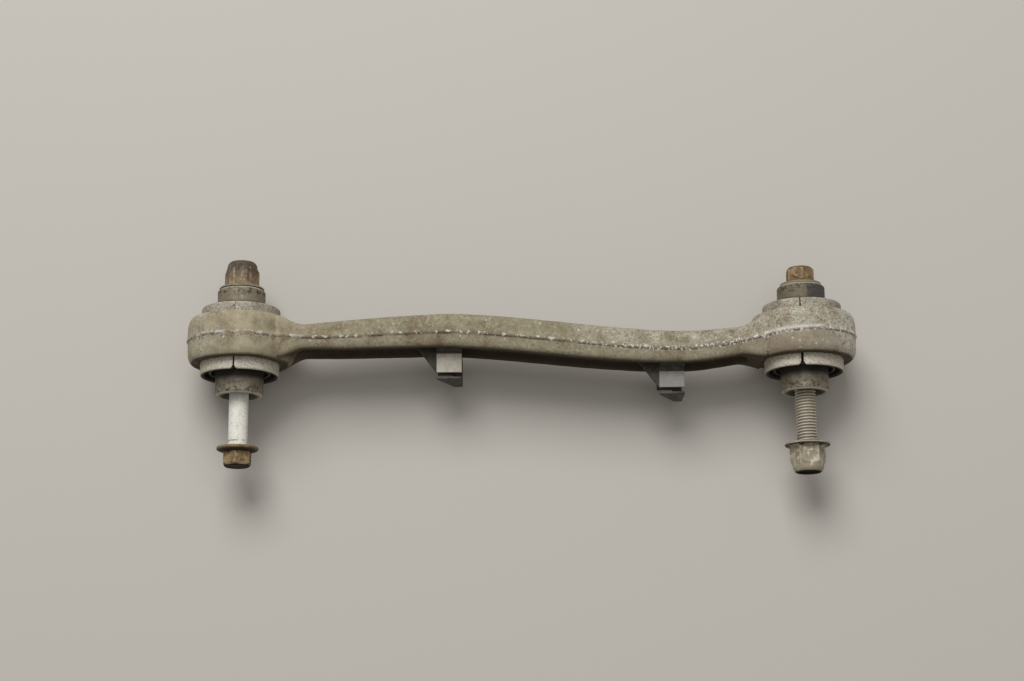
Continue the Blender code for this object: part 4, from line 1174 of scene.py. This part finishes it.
def nut_material(name, clean, stain, bright, shine, crown, flange):
    """Worn plating, with the crown and the flange in colours of their own."""
    material, tree, shader, place = new_material(name, 0.6, 0.2, Specular_IOR_Level=0.3)
    colour = weather(tree, place, clean, (
        (stain, 1.0, 5, 0.44, 0.60, 4, 0), ("#937a63", 1.0, 3.4, 0.58, 0.68, 4, 2),
        ("#5d4630", 1.0, 2.2, 0.62, 0.70, 4, 6),
    ))
    colour = paint(tree, colour, crown, stored(tree, "crown", 0.85))
    colour = paint(tree, colour, flange, stored(tree, "flange", 0.85))
    blotches = patches(tree, place, 4.0, 0.50, 0.62, 5.0, (1.3, 0.8, 1.3), seed=1.0)
    blotches = times(tree, blotches, patches(tree, place, 1.1, 0.40, 0.56, 2.0), shine)
    colour = paint(tree, colour, bright, blotches)
    colour = edge_wear(tree, place, colour, bright)
    # Painted shade: the nut's bore and seat, and the right nut's flange cone, are darkened.
    colour = paint(tree, colour, "#221c15", stored(tree, "grime", 0.92))
    tree.links.new(colour, shader.inputs["Base Color"])
    roughen(tree, shader, 0.5, 0.8, patches(tree, place, 3, 0.35, 0.65, seed=3.0))
    emboss(tree, shader, place, [(0.7, 0.06, 2.0), (2.4, 0.14, 3.0)])
    return material


NUT_STEEL = {
    "left": nut_material("rusty_plated_steel", "#897958", "#715744", "#b5ab98", 0.4, "#483e36", "#837b66"),
    "right": nut_material("worn_plated_steel", "#a19884", "#836f60", "#d8d2c3", 0.9, "#a1977f", "#a39a86"),
}

nylon, tree, shader, place = new_material("nylon", 0.5, 0.0)
colour = paint(tree, "#26221e", "#3c352b", patches(tree, place, 2.0, 0.5, 0.7))
tree.links.new(colour, shader.inputs["Base Color"])

FASTENERS = (
    (make_washer, "_bolt_washer", "_washer", rusty_steel, "rusty_steel"),
    (make_nut, "_nut", "_nut", None, "nut_steel"),
    (make_lock_ring, "_nut_lock_ring", "_nut", nylon, "nylon"),
)
for side in SIDES:
    for make, node, body, finish, slot in FASTENERS:
        piece = check_size(make(side))
        seat = HEAD_SEAT[side] if make is make_washer else NUT_SEAT[side]
        x, y, z, radius, height = along_bolt(piece, side, seat)
        corners = corner_wear(x, z, -NUT_TURNS[side]) * (radius > 8.9) * (radius < 10.8)
        store(piece, "corner", corners if make is make_nut else radius > WASHER_RADIUS - 0.4)
        store(piece, "crown", ramp(height, 9, 11))
        store(piece, "flange", (radius > 10.6) & (height < 3.0))
        # Painted shade: the washer's face towards the head, the nut's bore and seat and the right nut's
        # flange cone are stored to be darkened.
        shaded = height < 1.45 if make is make_washer else (radius < 7.6) | (height < 0.1)
        if make is make_nut:
            shaded = shaded | ((side == "right") & (height > 1.0) & (height < 3.2) & (radius > 10.3))
        store(piece, "grime", shaded)
        use(piece, finish or NUT_STEEL[side])
        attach(piece, side + body)
        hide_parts(side + node)

# %% [markdown]
# ## Cable clips
# The clips are moulded in light grey plastic. Their shape is flat walls and square corners, which the CAD
# model already holds exactly, so a copy of each is merged into clean faces and given the small rounds that a
# mould leaves. Everywhere but on their top plates they are painted dark, for dirt and as painted shade under
# the arm, and the plates too are painted dark next to the beam.

# %% Clips
def make_clip(side):
    mesh = frame["nodes"][side + "_cable_clip"].data.copy()
    work = bmesh.new()
    work.from_mesh(mesh)
    bmesh.ops.remove_doubles(work, verts=work.verts, dist=0.01 * MM)
    bmesh.ops.dissolve_limit(work, angle_limit=math.radians(1), verts=work.verts, edges=work.edges)
    edges = [e for e in work.edges if e.is_manifold and e.calc_face_angle() > math.radians(20)]
    bmesh.ops.bevel(work, geom=edges, offset=0.28 * MM, segments=2, profile=0.5, affect="EDGES")
    work.to_mesh(mesh)
    work.free()
    return finish_mesh(side + "_moulded_clip", mesh, smooth_angle=40.0)


# Where the beam's front face lies along Y behind each clip, in mm.
CLIP_FACES = {"left": 8.115, "right": -1.519}
clip_plastic, tree, shader, place = new_material("moulded_nylon_grey", 0.55, 0.0)
parts = add(tree, "ShaderNodeSeparateXYZ", inputs={0: place}).outputs
CLIP_TOP = (AXES["left"].z + 4.0) * MM
on_top = between(tree, parts[2], CLIP_TOP - 1.0 * MM, CLIP_TOP - 0.2 * MM)
at_right = between(tree, parts[0], -0.001, 0.001)
# Painted shade and dirt: all but the clear part of the top plates is painted dark, and the plates stay dark
# for a few millimetres in front of the beam, under its upper flange.
grime = paint(tree, "#332e27", "#4b453b", patches(tree, place, 4, 0.42, 0.68))
clean = paint(tree, "#b7b0a1", "#94908b", at_right)
clean = weather(tree, place, clean, (
    ("#7e786e", 0.6, 5, 0.45, 0.7, 4, 1), ("#aaa497", 0.5, 1.5, 0.55, 0.7, 4, 2),
))
face = {"Value": at_right, "To Min": CLIP_FACES["left"] * MM, "To Max": CLIP_FACES["right"] * MM}
face = add(tree, "ShaderNodeMapRange", inputs=face).outputs[0]
shaded = {"Value": at_right, "To Min": 0.0011, "To Max": 0.0028}
shaded = add(tree, "ShaderNodeMapRange", inputs=shaded).outputs[0]
known = work_out(tree, {}, (("ahead", "SUBTRACT", face, parts[1]), ("clear", "SUBTRACT", "ahead", shaded)))
clear = between(tree, known["clear"], -0.0002, 0.0002)
clear = times(tree, clear, between(tree, known["ahead"], 0.0128, 0.0122))
tree.links.new(paint(tree, grime, clean, times(tree, on_top, clear)), shader.inputs["Base Color"])
roughen(tree, shader, 0.5, 0.75, patches(tree, place, 3, 0.35, 0.65, seed=3.0))
emboss(tree, shader, place, [(0.8, 0.02, 2.0), (3.0, 0.03, 2.0)])
for side in SIDES:
    clip = check_size(make_clip(side))
    use(clip, clip_plastic)
    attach(clip, "arm")
    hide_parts(side + "_cable_clip")

# %% [markdown]
# ## Oxide crumbs
# Salt has lifted the aluminium into small white crumbs, thickest near the right eye and along the
# flash. They stand on the surface and catch the light one by one, so they are real small lumps.
# Geometry Nodes scatter them: points are dealt out over the arm, more of them where an attribute
# says so, and each gets a squashed low ball with its own turn and size.

# %% Scatter the crumbs
crumb_tree, given, result = new_tree("scatter_crumbs", (
    ("Density", "NodeSocketFloat"), ("Size", "NodeSocketFloat"), ("Seed", "NodeSocketInt"),
    ("Material", "NodeSocketMaterial"),
))
crust = {0: "crust"}
wanted = add(crumb_tree, "GeometryNodeInputNamedAttribute", {"data_type": "FLOAT"}, crust).outputs[0]
density = times(crumb_tree, wanted, given["Density"])
deal = {"Mesh": given["Geometry"], "Seed": given["Seed"], "Density": density}
dealt = add(crumb_tree, "GeometryNodeDistributePointsOnFaces", inputs=deal).outputs
ball = add(crumb_tree, "GeometryNodeMeshIcoSphere", inputs={"Radius": 1.0, "Subdivisions": 1}).outputs[0]
varied = {"Min": (0.5, 0.5, 0.25), "Max": (1.3, 1.3, 0.6), "Seed": given["Seed"]}
sizes = add(crumb_tree, "FunctionNodeRandomValue", {"data_type": "FLOAT_VECTOR"}, varied).outputs[0]
grown = {0: sizes, "Scale": given["Size"]}
grown = add(crumb_tree, "ShaderNodeVectorMath", {"operation": "SCALE"}, grown).outputs[0]
put = {"Points": dealt[0], "Instance": ball, "Rotation": dealt[2], "Scale": grown}
lumps = add(crumb_tree, "GeometryNodeInstanceOnPoints", inputs=put).outputs[0]
lumps = add(crumb_tree, "GeometryNodeRealizeInstances", inputs=[lumps]).outputs[0]
lumps = add(crumb_tree, "GeometryNodeSetMaterial", inputs={"Geometry": lumps, "Material": given["Material"]})
crumb_tree.links.new(lumps.outputs[0], result[0])

x, y, z = points_of(arm, ARM_MIDDLE)
u = y + bend(x)
crumb_wave = np.sin(x / 6.1 + 0.7) * np.sin(x / 2.7 + y / 3.3) * np.sin(z / 2.2 + y / 4.1)
on_arm_top = ramp(z, 9, 13) * (np.hypot(abs(x) - HALF_SPAN, z) > EYE_BORE + 2)
on_beam = ramp(x, 18, 63) * np.maximum(ramp(u, -0.5, 4.5), 0.06)
bloomed = on_beam * np.clip(crumb_wave + 0.45, 0, 1)
flash_wave = np.sin(x / 4.3 + 1.9) * np.sin(x / 1.7 + 0.4)
flashed = np.exp(-(((from_flash(x, u) - 0.2) / 0.8) ** 2)) * np.clip(flash_wave - 0.35, 0, 1) * 1.2
store(arm, "crust", on_arm_top * np.clip(bloomed * (x < HALF_SPAN + 22) + flashed, 0, 1))

oxide, tree, shader, place = new_material("aluminium_oxide", 0.9, 0.0)
colour = paint(tree, "#b9b4a4", "#d6d2c6", patches(tree, place, 4, 0.4, 0.65))
tree.links.new(colour, shader.inputs["Base Color"])
crumbs_piece = bpy.data.objects.new("oxide_crumbs", arm.data.copy())
bpy.context.scene.collection.objects.link(crumbs_piece)
values = {"Density": 150000.0, "Size": 0.23 * MM, "Seed": 5, "Material": oxide}
run_tree(crumbs_piece, crumb_tree, values)
crumbs_piece.data.shade_smooth()
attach(check_size(crumbs_piece), "arm")

# %% [markdown]
# ## Floor, light and camera
# The arm lies on a plain pale floor. The light is soft and comes from above and behind, which keeps
# the near side of the arm in shade as in the photograph. The camera looks down steeply.

# %% Floor
floor_mesh = bpy.data.meshes.new("floor")
sheet = bmesh.new()
bmesh.ops.create_grid(sheet, x_segments=1, y_segments=1, size=6.0)
sheet.to_mesh(floor_mesh)
sheet.free()
floor = bpy.data.objects.new("floor", floor_mesh)
floor.location.z = -0.0001
bpy.context.scene.collection.objects.link(floor)
pale, tree, shader, place = new_material("pale_floor", 0.75, 0.0)
shader.inputs["Base Color"].default_value = hex_colour("#bfbab2")
use(floor, pale)

# %% [markdown]
# A large soft lamp behind the arm stands for a window, and a weak one above it for the ceiling. The
# world adds a little light from all sides, so that no shadow is black.

# %% Light
world = bpy.data.worlds.new("studio")
bpy.context.scene.world = world
world.use_nodes = True
world.node_tree.nodes["Background"].inputs[0].default_value = hex_colour("#f4f2ee")
world.node_tree.nodes["Background"].inputs[1].default_value = 0.30


def add_lamp(name, place, size, power):
    data = bpy.data.lights.new(name, "AREA")
    data.size, data.energy = size, power
    lamp = bpy.data.objects.new(name, data)
    bpy.context.scene.collection.objects.link(lamp)
    lamp.location = place
    lamp.rotation_euler = (-Vector(place)).to_track_quat("-Z", "Y").to_euler()


add_lamp("window", (-0.4, 1.4, 1.9), 1.4, 44.0)
add_lamp("ceiling", (0.2, 0.3, 2.4), 1.8, 8.0)

# %% [markdown]
# The camera has a long lens and looks from steeply above. Its distance follows from the space between
# the bushes, and its angle from how much of the eyes' ends shows. It has no depth of field.

# %% Camera
ELEVATION, ROLL, DISTANCE = math.radians(76), math.radians(-0.4), 1.113
FOCAL_PIXELS, IMAGE_WIDTH, IMAGE_HEIGHT = 1914.0, 1024, 681
MODEL_X, MODEL_Y = 521.6, 341.8

camera_data = bpy.data.cameras.new("camera")
camera_data.sensor_width = 36.0
camera_data.lens = camera_data.sensor_width * FOCAL_PIXELS / IMAGE_WIDTH
camera = bpy.data.objects.new("camera", camera_data)
bpy.context.scene.collection.objects.link(camera)
turn = Matrix.Rotation(math.pi / 2 - ELEVATION, 3, "X") @ Matrix.Rotation(ROLL, 3, "Z")
aside = (IMAGE_WIDTH / 2 - MODEL_X) / FOCAL_PIXELS * DISTANCE
above = (MODEL_Y - IMAGE_HEIGHT / 2) / FOCAL_PIXELS * DISTANCE
offset = turn @ Vector((aside, above, DISTANCE))
camera.location = Vector(ARM_MIDDLE) * MM + offset
camera.rotation_euler = turn.to_euler()
bpy.context.scene.camera = camera
bpy.context.scene.view_settings.view_transform = "Standard"
print("camera at", [round(c, 3) for c in camera.location], "lens", round(camera_data.lens, 1), "mm")
